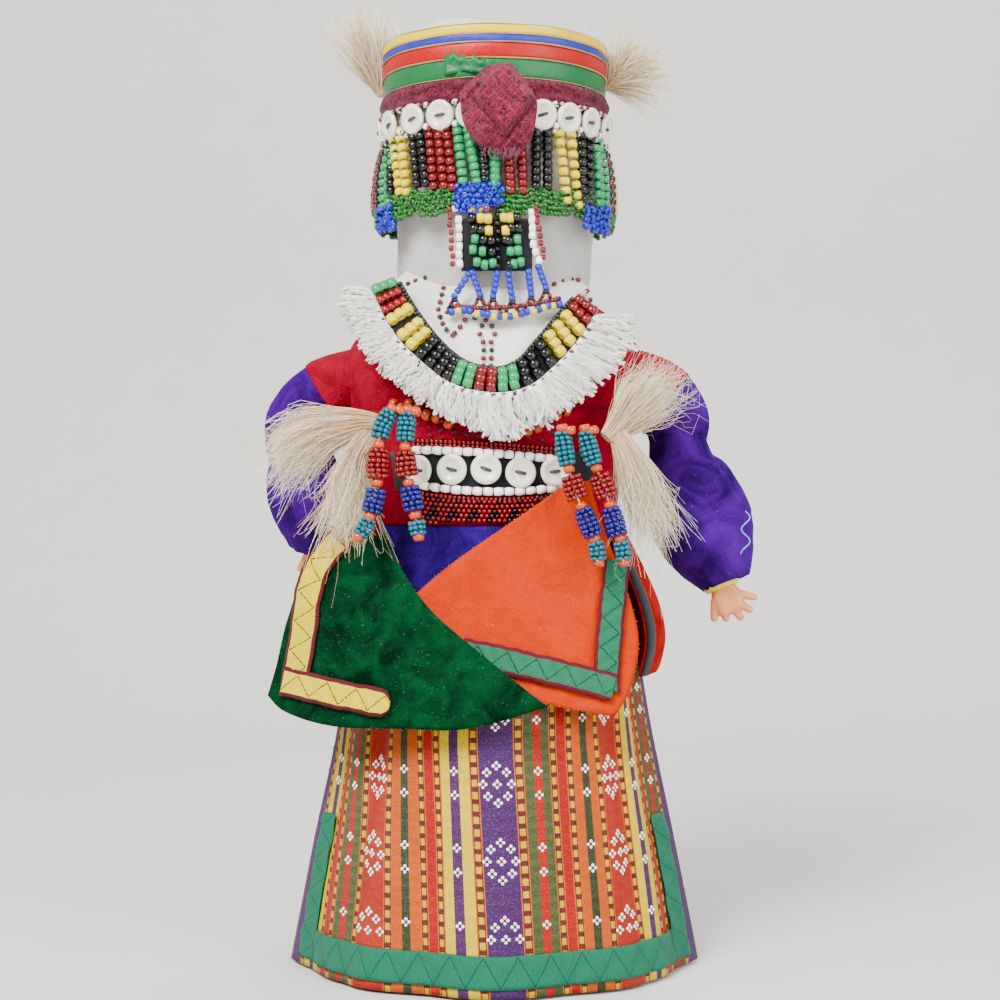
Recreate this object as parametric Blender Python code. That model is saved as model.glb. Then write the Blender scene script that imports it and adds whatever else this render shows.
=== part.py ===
"""A folk doll in festive dress, 0.34 m tall: a closed skirt and jacket, a drum-shaped head under a
white veil, a ribboned hat, a curtain of beads, a fringed collar and two stiff velvet flaps.

+Z is up, the doll faces -Y, and the origin is the middle of its flat underside. Values are in
millimetres and become metres where a mesh is made.
"""

import math

import bmesh
import bpy
from mathutils import Vector

MM = 0.001
GAP = 0.4

# Colour, roughness and metallic value of each material
FINISHES = {
    "brocade": ((0.62, 0.16, 0.03), 0.5, 0.0),
    "teal_ribbon": ((0.03, 0.25, 0.16), 0.6, 0.0),
    "crimson_velvet": ((0.45, 0.01, 0.04), 0.8, 0.0),
    "scarlet_velvet": ((0.62, 0.01, 0.01), 0.8, 0.0),
    "purple_velvet": ((0.10, 0.02, 0.38), 0.8, 0.0),
    "indigo_velvet": ((0.06, 0.02, 0.30), 0.8, 0.0),
    "green_velvet": ((0.0, 0.08, 0.03), 0.8, 0.0),
    "orange_velvet": ((0.85, 0.12, 0.0), 0.8, 0.0),
    "gold_ribbon": ((0.85, 0.50, 0.02), 0.6, 0.0),
    "black_cloth": ((0.02, 0.02, 0.02), 0.9, 0.0),
    "white_cloth": ((0.80, 0.77, 0.72), 0.9, 0.0),
    "white_yarn": ((0.72, 0.70, 0.66), 0.95, 0.0),
    "burgundy_cloth": ((0.20, 0.02, 0.05), 0.9, 0.0),
    "pearl": ((0.80, 0.78, 0.68), 0.2, 0.0),
    "glass_beads": ((0.05, 0.30, 0.10), 0.25, 0.0),
    "goat_hair": ((0.75, 0.62, 0.42), 0.6, 0.0),
    "vinyl": ((0.80, 0.48, 0.30), 0.5, 0.0),
    "yellow_satin": ((0.90, 0.60, 0.0), 0.4, 0.0),
    "blue_satin": ((0.03, 0.06, 0.50), 0.4, 0.0),
    "red_satin": ((0.80, 0.01, 0.0), 0.4, 0.0),
}

# Skirt, from the floor to the waist: share of its height, and radius
SKIRT_HEIGHT = 127.6
SKIRT_PROFILE = ((0.0, 71.5), (0.29, 64.5), (0.61, 56.0), (1.0, 47.5))
SKIRT_FOLDS = 9
SKIRT_FOLD_DEPTH = 1.3
SKIRT_SIDES = 45

# Apron, which starts a little under the waist, and the ribbon sewn on it
APRON_HALF_ANGLE = math.radians(74)
APRON_HEM = 1.2
APRON_DROP = 9.6
APRON_THICKNESS = 1.2
APRON_CLEARANCE = 0.9
BORDER_HEIGHT = 48.8
BORDER_WIDTH = 10.5
BORDER_INSET = 3.0
BORDER_THICKNESS = 0.7

# Body of the jacket: share of its height, half width and half depth
TORSO_BOTTOM = SKIRT_HEIGHT + GAP
TORSO_HEIGHT = 103.6
TORSO_TOP = TORSO_BOTTOM + TORSO_HEIGHT
TORSO_PROFILE = (
    (0.0, 49.0, 47.5),
    (0.12, 46.0, 44.0),
    (0.23, 44.0, 41.5),
    (0.36, 44.5, 41.0),
    (0.5, 47.0, 41.5),
    (0.65, 52.0, 41.5),
    (0.77, 54.0, 39.0),
    (0.87, 50.0, 36.0),
    (0.95, 42.0, 32.5),
    (1.0, 34.0, 29.0),
)
TORSO_SIDES = 28

# How far the body stands forward at the waist, chest and neck, which loose pieces are
# measured from
WAIST_DEPTH = TORSO_PROFILE[0][2]
CHEST_DEPTH = TORSO_PROFILE[3][2]
NECK_DEPTH = TORSO_PROFILE[-1][2]

# Flared skirt of the jacket, which wraps the back: height over the waist, and how far it
# stands off the waist
JACKET_SKIRT_PROFILE = ((-28.0, 11.0), (-16.0, 13.5), (-4.0, 11.5), (9.0, 6.0), (22.0, -0.5))
JACKET_SKIRT_RIGHT = math.radians(60)
JACKET_SKIRT_LEFT = math.radians(-64)
JACKET_SKIRT_THICKNESS = 1.8
JACKET_SKIRT_ROWS = 4
JACKET_SKIRT_COLUMNS = 22

# Beaded front of the jacket
FRONT_HALF_ANGLE = math.radians(62)
SASH_LIFT = 1.0
SASH_HEIGHT = 23.2
SASH_THICKNESS = 1.5
PANEL_BOTTOM = TORSO_BOTTOM + SASH_LIFT + SASH_HEIGHT + GAP
PANEL_HEIGHT = 39.4
PANEL_THICKNESS = 1.0
BUTTON_RADIUS = 5.0
BUTTON_THICKNESS = 1.8
BAND_MARGIN = 1.6
BAND_LIFT = 18.2
BAND_THICKNESS = 0.8
CHEST_BUTTONS = 5
CHEST_BUTTON_SPACE = 1.4
CHEST_BUTTON_MIDDLE = -2.6

# Velvet flaps and their trims: edge curves of the inner face, from corner to corner, as x,
# distance in front of the waist and height over the waist
FLAP_THICKNESS = 1.8
TRIM_THICKNESS = 0.8
GREEN_LEFT = ((-76, -12, -38), (-73, -12, -24), (-69.5, -10, -7.5), (-63, -6, 9), (-48, -2, 18))
GREEN_BOTTOM = ((-76, -12, -38), (-54, 8, -40.5), (-30, 16, -41.5), (-8, 19, -41), (17.5, 20, -34))
GREEN_RIGHT = ((17.5, 20, -34), (-4.5, 16, -17), (-21, 11, -3), (-31.5, 6, 11.5), (-36, 2, 22.5))
GREEN_TOP = ((-48, -2, 18), (-42, 0.5, 21), (-36, 2, 22.5))
ORANGE_LEFT = ((-27, 6, 1), (-14.5, 5, 11.5), (2, 3.5, 23), (24, 0, 38))
ORANGE_BOTTOM = ((-27, 6, 1), (-17, 8, -13), (-1, 11, -27), (17, 12.5, -33.5), (40, 9, -38))
ORANGE_RIGHT = ((40, 9, -38), (45.5, 4, -29.5), (48.5, 0, -14), (44.5, -1, 3), (37, -1, 23), (32, -1.5, 39.5))
ORANGE_TOP = ((24, 0, 38), (28, -0.5, 39), (32, -1.5, 39.5))

# Sleeves, as x, y, height over the shoulder as a share of the torso's height, and radius
SHOULDER_HEIGHT = 0.74
SLEEVE_SIDES = 12
RIGHT_SLEEVE = (
    (49, 0, 0, 10),
    (60, 0, -0.07, 12.5),
    (66, -2, -0.175, 12),
    (66, -3, -0.265, 9.8),
    (70, -5, -0.375, 15.5),
    (75, -7, -0.53, 18),
    (80, -9, -0.645, 13.5),
    (82.5, -10, -0.705, 8.5),
)
LEFT_SLEEVE = (
    (-49, 0, 0, 10),
    (-61, 1, -0.06, 12.5),
    (-70, 3, -0.165, 13.5),
    (-70, 4, -0.27, 11.5),
    (-68.5, 7, -0.385, 14.5),
    (-66.5, 10, -0.51, 12.5),
    (-67, 13, -0.58, 8.5),
)
CUFF_RADIUS = 6.0
CUFF_LENGTH = 4.0
PALM_LENGTH = 12.0
PALM_HALF_WIDTH = 7.6
PALM_HALF_DEPTH = 3.6
FINGER_RADIUS = 2.0
# Root and tip of each finger, across the palm and away from the wrist
FINGERS = (
    (-6.0, 6.0, -9.0, 13.0),
    (-3.4, 10.5, -4.0, 15.0),
    (0.6, 11.5, 2.6, 17.0),
    (4.4, 10.5, 7.8, 15.2),
    (6.6, 7.0, 12.0, 10.6),
)

# Head under its veil: share of its height, and radius
HEAD_BOTTOM = TORSO_TOP + GAP
HEAD_HEIGHT = 71.8
HEAD_TOP = HEAD_BOTTOM + HEAD_HEIGHT
HEAD_PROFILE = ((0.0, 33.0), (0.11, 34.0), (0.28, 34.6), (0.47, 36.5), (0.7, 38.3), (1.0, 39.0))
HEAD_RADIUS = HEAD_PROFILE[-1][1]
HEAD_SIDES = 28

# Hat on the head, and the ribbons round it from the lowest to the highest
HAT_HEIGHT = 18.6
HAT_DOME = 1.6
HAT_CROWN = 0.8
RIBBONS = (
    ("green", 6.6, "teal_ribbon"),
    ("red", 5.2, "red_satin"),
    ("blue", 2.6, "blue_satin"),
    ("yellow", 3.2, "yellow_satin"),
)
RIBBON_THICKNESS = 0.7
RING_SIDES = 24

# Headband, its knot, the row of buttons and the bead curtain below them
HEADBAND_HEIGHT = 8.2
HEADBAND_THICKNESS = 1.8
HEADBAND_BOTTOM = HEAD_TOP - HEADBAND_HEIGHT
HEAD_BUTTONS = 13
HEAD_BUTTON_SPACE = 0.65
HEAD_BUTTON_DROP = 3.6
HEAD_BUTTON_LEAN = math.radians(8)
HEAD_BUTTON_MIDDLE = HEADBAND_BOTTOM - HEAD_BUTTON_DROP
KNOT_MIDDLE = 3.0
KNOT_DROP = 3.6
KNOT_HALF_WIDTH = 13.5
KNOT_HALF_HEIGHT = 16.0
KNOT_DEPTH = 8.5
CURTAIN_TOP = HEAD_BUTTON_MIDDLE - BUTTON_RADIUS - 1.5 * GAP
CURTAIN_HEIGHT = 28.9
CURTAIN_BOTTOM = CURTAIN_TOP - CURTAIN_HEIGHT
CURTAIN_TOP_ROW = 2.8
CURTAIN_EDGING = 8.0
CURTAIN_THICKNESS = 3.2
CURTAIN_CLEARANCE = 0.9
CURTAIN_PAIRS = 17
CURTAIN_SWELL = 4.2
CURTAIN_TUCK = 1.2
STRAND_ROWS = 3
STRAND_LUMP = 0.5

# Beaded strip that hangs over the mouth, and its fringe
STRIP_HALF_WIDTH = 13.2
STRIP_MIDDLE = 0.9
STRIP_HEIGHT = 17.8
STRIP_TOP = CURTAIN_BOTTOM - 3 * GAP
STRIP_BOTTOM = STRIP_TOP - STRIP_HEIGHT
STRIP_THICKNESS = 2.4
STRIP_STAND_OFF = 7.8
STRIP_CURVE = 0.008
STRIP_FRINGE_LENGTH = 15.6
STRIP_FRINGE_HALF_WIDTH = 19.0
STRIP_FRINGE_LEAN = 2.4

# Bib and collar: curves from one shoulder to the other, as x, distance in front of the neck
# and height over its foot
BIB_THICKNESS = 0.7
COLLAR_BEAD_THICKNESS = 3.0
FRINGE_THICKNESS = 2.6
FRINGE_START = 0.13
COLLAR_COLUMNS = 17
NECK_CURVE = (
    (-35, -12, 5.5),
    (-26, -2, 1.5),
    (-12, 6, -2),
    (0, 8, -3),
    (12, 6, -2),
    (25, -2, 1),
    (33, -11, 3.5),
)
COLLAR_INNER = (
    (-33, 4, 2.5),
    (-26, 9, -9),
    (-18, 13, -19),
    (-10, 16, -25.5),
    (0, 17.5, -28),
    (8, 17, -25.5),
    (15, 14.5, -18),
    (22, 11, -9.5),
    (27.5, 7, -3),
)
COLLAR_OUTER = (
    (-41, 3, -0.5),
    (-35, 9, -12.5),
    (-27, 14, -22),
    (-15, 17.5, -31.5),
    (-1, 19, -35),
    (11, 18.5, -33),
    (20, 16, -26),
    (28, 12, -17),
    (34, 7, -8),
)
FRINGE_OUTER = (
    (-53, 4, 1),
    (-48, 11, -15),
    (-36, 17, -29),
    (-21, 21, -40.5),
    (-7, 22.5, -47.5),
    (3, 23, -51),
    (17, 22, -46),
    (32, 19, -35),
    (44, 14, -23.5),
    (48, 8, -9),
)

# Strings of small beads, as x, distance in front of the chest and height over the neck's foot
STRINGS = {
    "left_outer": (
        (-33.5, 16, -41),
        (-37, 17.5, -48),
        (-38, 18.5, -56.5),
        (-38.5, 19, -67.5),
        (-41, 19.5, -77.5),
        (-44.5, 20, -83.5),
    ),
    "left_inner": (
        (-28.5, 16, -41.5),
        (-29, 17.5, -49.5),
        (-29, 18.5, -58),
        (-27.5, 19, -67.5),
        (-25.5, 19.5, -77.5),
        (-24.5, 20, -83.5),
    ),
    "right_inner": (
        (22.5, 16, -47.5),
        (23.5, 16.5, -56),
        (26.5, 17, -67.5),
        (30.5, 17, -77.5),
        (33.5, 17, -85.5),
        (34.5, 17, -92),
    ),
    "right_outer": (
        (30, 14.5, -47.5),
        (32, 15, -56),
        (36.5, 15, -67.5),
        (39.5, 15, -77.5),
        (42, 15.5, -85.5),
        (43, 15.5, -92),
    ),
}
STRING_STEPS = 40
# Share of a string's length and its radius there: knots of single beads between thick bundles
STRING_PROFILE = (
    (0.0, 1.6),
    (0.05, 2.9),
    (0.24, 3.0),
    (0.29, 1.9),
    (0.34, 3.2),
    (0.52, 3.5),
    (0.57, 1.9),
    (0.62, 3.2),
    (0.78, 3.2),
    (0.82, 1.9),
    (0.87, 2.8),
    (0.97, 2.6),
    (1.0, 1.4),
)

# Tufts of hair. Hat tufts are given as distance out from the hat, y, height over its foot and
# radius, and the two brushes of a chest tuft as the strings are, with the radius
TUFT_FLATTEN = 0.6
HAT_TUFT_LEFT = ((3, 0, 3, 1.6), (5.5, 0, 9, 4.2), (10, 0, 18, 7.6), (7, 0, 27.5, 11.5), (6, 0, 33, 11))
HAT_TUFT_RIGHT = ((3, 0, 6, 2), (8, 0, 9, 6), (13, 0, 10.5, 10.5), (19, 0, 10, 11), (23, 0, 9, 7.5))
CHEST_TUFT_LEFT_SIDE = (
    (-38.5, 11, -45.5, 2.6),
    (-48, 8, -46, 5),
    (-60, 3, -49, 8),
    (-69, -2, -55.5, 8.5),
    (-73, -4, -60.5, 5.5),
)
CHEST_TUFT_LEFT_DOWN = (
    (-40.5, 10.5, -49, 3),
    (-44.5, 11, -56, 4.6),
    (-47.5, 11.5, -68, 6.5),
    (-50, 12, -77.5, 5.5),
    (-51, 12, -80.5, 3.5),
)
CHEST_TUFT_RIGHT_SIDE = (
    (37.5, 9, -50.5, 2.4),
    (43, 6.5, -45, 5),
    (49, 3, -39, 7.5),
    (54.5, 0, -34, 7.5),
    (57, -1, -31.5, 5),
)
CHEST_TUFT_RIGHT_DOWN = (
    (41, 8, -48.5, 2.6),
    (45, 9, -57, 4.4),
    (49, 8.5, -67, 6),
    (52, 7.5, -77.5, 5.5),
    (53, 7.5, -82.5, 3),
)


def smooth_value(table, height, column=1):
    """The value in a column of a height table, read off a smooth curve through its rows."""
    spans = len(table) - 1
    i = min(max(sum(height > row[0] for row in table) - 1, 0), spans - 1)
    low, high = table[i], table[i + 1]
    before, after = table[max(i - 1, 0)], table[min(i + 2, spans)]
    width = high[0] - low[0]
    t = min(max((height - low[0]) / width, 0.0), 1.0)
    start_slope = (high[column] - before[column]) / (high[0] - before[0]) * width
    end_slope = (after[column] - low[column]) / (after[0] - low[0]) * width
    return (
        low[column] * (2 * t**3 - 3 * t**2 + 1)
        + start_slope * (t**3 - 2 * t**2 + t)
        + high[column] * (3 * t**2 - 2 * t**3)
        + end_slope * (t**3 - t**2)
    )


def along(points, count, samples=12):
    """Points spread evenly along a smooth curve through the given ones, radius and all."""
    rows = [Vector(p) for p in points]
    dense = []
    for i in range(len(rows) - 1):
        a, b, c, d = rows[max(i - 1, 0)], rows[i], rows[i + 1], rows[min(i + 2, len(rows) - 1)]
        for s in range(samples):
            t = s / samples
            square, cube = 2 * a - 5 * b + 4 * c - d, 3 * b - a - 3 * c + d
            dense.append((2 * b + (c - a) * t + square * t**2 + cube * t**3) / 2)
    dense.append(rows[-1])
    reach = [0.0]
    for first, second in zip(dense, dense[1:]):
        reach.append(reach[-1] + (second - first).length)
    found = []
    for n in range(count):
        wanted = reach[-1] * n / (count - 1)
        i = min(max(sum(r < wanted for r in reach) - 1, 0), len(dense) - 2)
        share = (wanted - reach[i]) / (reach[i + 1] - reach[i])
        found.append(dense[i].lerp(dense[i + 1], share))
    return found


def spread(low, high, cells):
    return [low + (high - low) * n / cells for n in range(cells + 1)]


def around(angle, half_width, half_depth, height):
    """A point on an oval about the vertical axis. Angle 0 is the front and positive is +X."""
    return Vector((half_width * math.sin(angle), -half_depth * math.cos(angle), height))


def turns(count):
    return [2 * math.pi * n / count for n in range(count)]


def skirt_point(angle, height, out=0.0):
    """A point on the skirt, or that far outside it."""
    share = height / SKIRT_HEIGHT
    fold = SKIRT_FOLD_DEPTH * (1.0 - share) * math.cos(SKIRT_FOLDS * angle)
    radius = smooth_value(SKIRT_PROFILE, share) + fold + out
    return around(angle, radius, radius, height)


def torso_size(height, out=0.0):
    """Half width and half depth of the jacket at a height, or that far outside it."""
    share = (height - TORSO_BOTTOM) / TORSO_HEIGHT
    return smooth_value(TORSO_PROFILE, share, 1) + out, smooth_value(TORSO_PROFILE, share, 2) + out


def torso_point(angle, height, out=0.0):
    half_width, half_depth = torso_size(height, out)
    return around(angle, half_width, half_depth, height)


def head_radius(height):
    return smooth_value(HEAD_PROFILE, (height - HEAD_BOTTOM) / HEAD_HEIGHT)


def head_point(angle, height, out=0.0):
    radius = head_radius(height) + out
    return around(angle, radius, radius, height)


def placed(points, depth, height):
    """Points given as x, distance in front of a depth, height over a level and maybe a radius."""
    return [(p[0], -depth - p[1], height + p[2], *p[3:]) for p in points]


def add_object(name, points, faces, finish, smooth=True):
    """One object from points in millimetres."""
    mesh = bpy.data.meshes.new(name)
    mesh.from_pydata([Vector(p) * MM for p in points], [], faces)
    mesh.materials.append(materials[finish])
    if smooth:
        mesh.shade_smooth()
        mesh.set_sharp_from_angle(angle=math.radians(40))
    made = bpy.data.objects.new(name, mesh)
    bpy.context.collection.objects.link(made)
    return made


def add_loft(name, rings, finish):
    """A closed solid through rings of points, listed from the lowest up and counter-clockwise from above."""
    sides = len(rings[0])
    points = [p for ring in rings for p in ring]
    faces = []
    for row in range(len(rings) - 1):
        for n in range(sides):
            m = (n + 1) % sides
            faces.append((row * sides + n, row * sides + m, (row + 1) * sides + m, (row + 1) * sides + n))
    faces.append(tuple(reversed(range(sides))))
    faces.append(tuple(range(len(points) - sides, len(points))))
    return add_object(name, points, faces, finish)


def add_sheet(name, grid, thickness, finish, kept=None):
    """A sheet whose inner face is the grid, rows from the bottom up and columns from -X to +X.
    kept says which cells are there, so that a strip can turn a corner."""
    columns = len(grid[0])
    points = [p for row in grid for p in row]
    faces = []
    for r in range(len(grid) - 1):
        for c in range(columns - 1):
            if kept is None or kept(r, c):
                low = r * columns + c
                faces.append((low, low + 1, low + 1 + columns, low + columns))
    made = add_object(name, points, faces, finish)
    work = bmesh.new()
    work.from_mesh(made.data)
    loose = [v for v in work.verts if not v.link_faces]
    bmesh.ops.delete(work, geom=loose, context="VERTS")
    work.to_mesh(made.data)
    work.free()
    wall = made.modifiers.new("Thickness", "SOLIDIFY")
    wall.thickness = thickness * MM
    wall.offset = 1.0
    return made


def add_swept(name, line, finish, sides=10, flatten=1.0):
    """A round solid along a line of points that carry their radius; flatten thins it in Y."""
    points = [Vector(p[:3]) for p in line]
    rings = []
    for n, point in enumerate(points):
        ahead = (points[min(n + 1, len(points) - 1)] - points[max(n - 1, 0)]).normalized()
        across = ahead.cross(Vector((0, 1, 0))).normalized()
        depth = ahead.cross(across).normalized() * flatten
        ring = []
        for s in range(sides):
            turn = 2 * math.pi * s / sides
            ring.append(point + (across * math.cos(turn) + depth * math.sin(turn)) * line[n][3])
        rings.append(ring)
    return add_loft(name, rings, finish)


def add_ring(name, low, high, inner, outer, finish):
    """A plain band round the vertical axis."""
    profile = ((inner, low), (outer, low), (outer, high), (inner, high))
    points = [around(turn, r, r, z) for turn in turns(RING_SIDES) for r, z in profile]
    faces = []
    for n in range(RING_SIDES):
        m = (n + 1) % RING_SIDES
        for p in range(4):
            q = (p + 1) % 4
            faces.append((n * 4 + p, m * 4 + p, m * 4 + q, n * 4 + q))
    return add_object(name, points, faces, finish)


def add_helper(made):
    """Marks an object as a tool for a Boolean."""
    made.hide_render = True
    made.display_type = "WIRE"
    return made


def add_boolean(target, tool, operation):
    change = target.modifiers.new(operation.title(), "BOOLEAN")
    change.object = add_helper(tool)
    change.operation = operation


def add_skirt():
    rings = []
    for share in (0.0, 0.2, 0.4, 0.7, 1.0):
        rings.append([skirt_point(turn, SKIRT_HEIGHT * share) for turn in turns(SKIRT_SIDES)])
    add_loft("skirt", rings, "brocade")


def add_apron():
    hem_radius = SKIRT_PROFILE[0][1]
    outer = APRON_HALF_ANGLE - BORDER_INSET / hem_radius
    inner = outer - BORDER_WIDTH / hem_radius
    across = [-outer] + spread(-inner, inner, 14) + [outer]
    low = APRON_HEM + BORDER_INSET
    high = low + BORDER_HEIGHT
    up = [low] + spread(low + BORDER_WIDTH, high, 2)
    angles = [-APRON_HALF_ANGLE] + across + [APRON_HALF_ANGLE]
    heights = [APRON_HEM] + up + spread(high, SKIRT_HEIGHT - APRON_DROP, 3)[1:]
    grid = [[skirt_point(a, z, APRON_CLEARANCE) for a in angles] for z in heights]
    add_sheet("apron", grid, APRON_THICKNESS, "brocade")
    raised = APRON_CLEARANCE + APRON_THICKNESS + GAP
    border = [[skirt_point(a, z, raised) for a in across] for z in up]
    last = len(across) - 2
    add_sheet("apron_border", border, BORDER_THICKNESS, "teal_ribbon", lambda r, c: r == 0 or c in (0, last))


def torso_rings(out):
    heights = [TORSO_BOTTOM + TORSO_HEIGHT * row[0] for row in TORSO_PROFILE]
    return [[torso_point(turn, z, out) for turn in turns(TORSO_SIDES)] for z in heights]


def add_jacket():
    add_loft("jacket", torso_rings(0.0), "crimson_velvet")
    end = 2 * math.pi + JACKET_SKIRT_LEFT
    grid = []
    for over in spread(JACKET_SKIRT_PROFILE[0][0], JACKET_SKIRT_PROFILE[-1][0], JACKET_SKIRT_ROWS):
        radius = WAIST_DEPTH + smooth_value(JACKET_SKIRT_PROFILE, over)
        angles = spread(JACKET_SKIRT_RIGHT, end, JACKET_SKIRT_COLUMNS)
        grid.append([around(a, radius, radius, TORSO_BOTTOM + over) for a in angles])
    add_sheet("jacket_skirt", grid, JACKET_SKIRT_THICKNESS, "scarlet_velvet")


def add_front_piece(name, low, height, out, thickness, finish, rows):
    """A sheet that follows the jacket's front, that far outside it."""
    angles = spread(-FRONT_HALF_ANGLE, FRONT_HALF_ANGLE, 12)
    grid = [[torso_point(a, z, out) for a in angles] for z in spread(low, low + height, rows)]
    add_sheet(name, grid, thickness, finish)


def add_button(name, centre, outward):
    """A pearl button; its back is at the centre point."""
    sides, radius, deep = 10, BUTTON_RADIUS, BUTTON_THICKNESS
    profile = ((radius * 0.85, 0.0), (radius, deep * 0.5), (radius * 0.85, deep))
    upright = Vector((0, 0, 1))
    side = upright.cross(outward).normalized()
    top = outward.cross(side).normalized()
    rings = []
    for across, ahead in profile:
        ring = []
        for n in range(sides):
            turn = 2 * math.pi * n / sides
            ring.append(centre + outward * ahead + (side * math.cos(turn) + top * math.sin(turn)) * across)
        rings.append(ring)
    add_loft(name, rings, "pearl")


def add_chest():
    add_front_piece("sash", TORSO_BOTTOM + SASH_LIFT, SASH_HEIGHT, GAP, SASH_THICKNESS, "indigo_velvet", 2)
    add_front_piece("chest_panel", PANEL_BOTTOM, PANEL_HEIGHT, GAP, PANEL_THICKNESS, "crimson_velvet", 4)
    band_out = 2 * GAP + PANEL_THICKNESS
    middle = PANEL_BOTTOM + BAND_LIFT
    band_height = 2 * (BUTTON_RADIUS + BAND_MARGIN)
    band_bottom = middle - band_height / 2
    add_front_piece("button_band", band_bottom, band_height, band_out, BAND_THICKNESS, "black_cloth", 2)
    seat = band_out + BAND_THICKNESS + 2 * GAP
    half_width, half_depth = torso_size(middle, seat)
    spacing = 2 * BUTTON_RADIUS + CHEST_BUTTON_SPACE
    for n in range(CHEST_BUTTONS):
        x = CHEST_BUTTON_MIDDLE + (n - (CHEST_BUTTONS - 1) / 2) * spacing
        angle = math.asin(x / half_width)
        outward = Vector((math.sin(angle) / half_width, -math.cos(angle) / half_depth, 0)).normalized()
        add_button(f"chest_button_{n + 1}", torso_point(angle, middle, seat), outward)


def patch(bottom, top, left, right, columns, rows):
    """A grid between four edge curves that meet at the corners, rows from the bottom up."""
    low, high = along(bottom, columns + 1), along(top, columns + 1)
    west, east = along(left, rows + 1), along(right, rows + 1)
    grid = []
    for r in range(rows + 1):
        t = r / rows
        row = []
        for c in range(columns + 1):
            s = c / columns
            sides = west[r].lerp(east[r], s)
            ends = low[c].lerp(high[c], t)
            corners = low[0].lerp(low[-1], s).lerp(high[0].lerp(high[-1], s), t)
            row.append(sides + ends - corners)
        grid.append(row)
    return grid


def lifted(grid, out):
    """The same grid moved outwards along its own normals."""
    rows, columns = len(grid), len(grid[0])
    made = []
    for r in range(rows):
        row = []
        for c in range(columns):
            east = grid[r][min(c + 1, columns - 1)] - grid[r][max(c - 1, 0)]
            north = grid[min(r + 1, rows - 1)][c] - grid[max(r - 1, 0)][c]
            row.append(grid[r][c] + east.cross(north).normalized() * out)
        made.append(row)
    return made


def waist_curves(*curves):
    return [placed(curve, WAIST_DEPTH, TORSO_BOTTOM) for curve in curves]


def add_flaps():
    columns, rows = 14, 14
    on_top = FLAP_THICKNESS + GAP
    green = patch(*waist_curves(GREEN_BOTTOM, GREEN_TOP, GREEN_LEFT, GREEN_RIGHT), columns, rows)
    add_sheet("flap_green", [row[::2] for row in green[::2]], FLAP_THICKNESS, "green_velvet")
    trim = lifted(green, on_top)
    add_sheet(
        "flap_green_trim",
        trim,
        TRIM_THICKNESS,
        "gold_ribbon",
        lambda r, c: (c in (1, 2) and 1 <= r < 13) or (r in (1, 2) and 1 <= c < 7),
    )
    orange = patch(*waist_curves(ORANGE_BOTTOM, ORANGE_TOP, ORANGE_LEFT, ORANGE_RIGHT), columns, rows)
    add_sheet("flap_orange", [row[::2] for row in orange[::2]], FLAP_THICKNESS, "orange_velvet")
    trim = lifted(orange, on_top)
    add_sheet(
        "flap_orange_trim",
        trim,
        TRIM_THICKNESS,
        "teal_ribbon",
        lambda r, c: (c in (11, 12) and 1 <= r < 9) or (r in (1, 2) and 7 <= c < 13),
    )


def add_hand(name, wrist, down, across):
    """A doll's open hand. down runs from the wrist to the fingers, and across over the palm."""
    through = across.cross(down).normalized()

    def place(sideways, away, radius):
        spot = wrist + across * sideways + down * away
        return (*spot, radius)

    sides = 10
    rings = []
    for away, share in ((0.0, 0.5), (2.0, 0.55), (6.0, 0.97), (PALM_LENGTH, 0.8)):
        ring = []
        for n in range(sides):
            turn = 2 * math.pi * n / sides
            wide = across * math.cos(turn) * PALM_HALF_WIDTH * share
            deep = through * math.sin(turn) * PALM_HALF_DEPTH * max(share, 0.75)
            ring.append(wrist + down * away + wide + deep)
        rings.append(ring)
    hand = add_loft(name, rings, "vinyl")
    for n, (root_x, root_y, tip_x, tip_y) in enumerate(FINGERS):
        start = place(root_x * 0.7, root_y - 3.0, FINGER_RADIUS)
        tip_short = place((tip_x * 4 + root_x) / 5, (tip_y * 4 + root_y) / 5, FINGER_RADIUS)
        tip = place(tip_x, tip_y, FINGER_RADIUS * 0.55)
        finger = add_swept(f"{name}_finger_{n + 1}", (start, tip_short, tip), "vinyl", sides=5)
        add_boolean(hand, finger, "UNION")


def add_arm(side, line):
    """Sleeve, cuff and hand in one line. The sleeve is cut to the shoulder that it is sewn to."""
    shoulder = TORSO_BOTTOM + TORSO_HEIGHT * SHOULDER_HEIGHT
    middle = along([(x, y, shoulder + TORSO_HEIGHT * share, radius) for x, y, share, radius in line], 12)
    down = (middle[-1] - middle[-2]).to_3d().normalized()
    sleeve = add_swept(f"sleeve_{side}", middle, "purple_velvet", sides=SLEEVE_SIDES)
    body = add_loft(f"shoulder_tool_{side}", torso_rings(GAP), "crimson_velvet")
    add_boolean(sleeve, body, "DIFFERENCE")
    end = middle[-1].to_3d()
    cuff_start = end + down * GAP
    cuff_end = cuff_start + down * CUFF_LENGTH
    places = (cuff_start, cuff_start.lerp(cuff_end, 0.5), cuff_end)
    cuff_line = [(*place, CUFF_RADIUS * share) for place, share in zip(places, (1.0, 1.08, 0.93))]
    add_swept(f"cuff_{side}", cuff_line, "yellow_satin", sides=SLEEVE_SIDES)
    across = Vector((1, 0, 0)) - down * down.x
    add_hand(f"hand_{side}", cuff_end + down * GAP, down, across.normalized())


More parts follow.
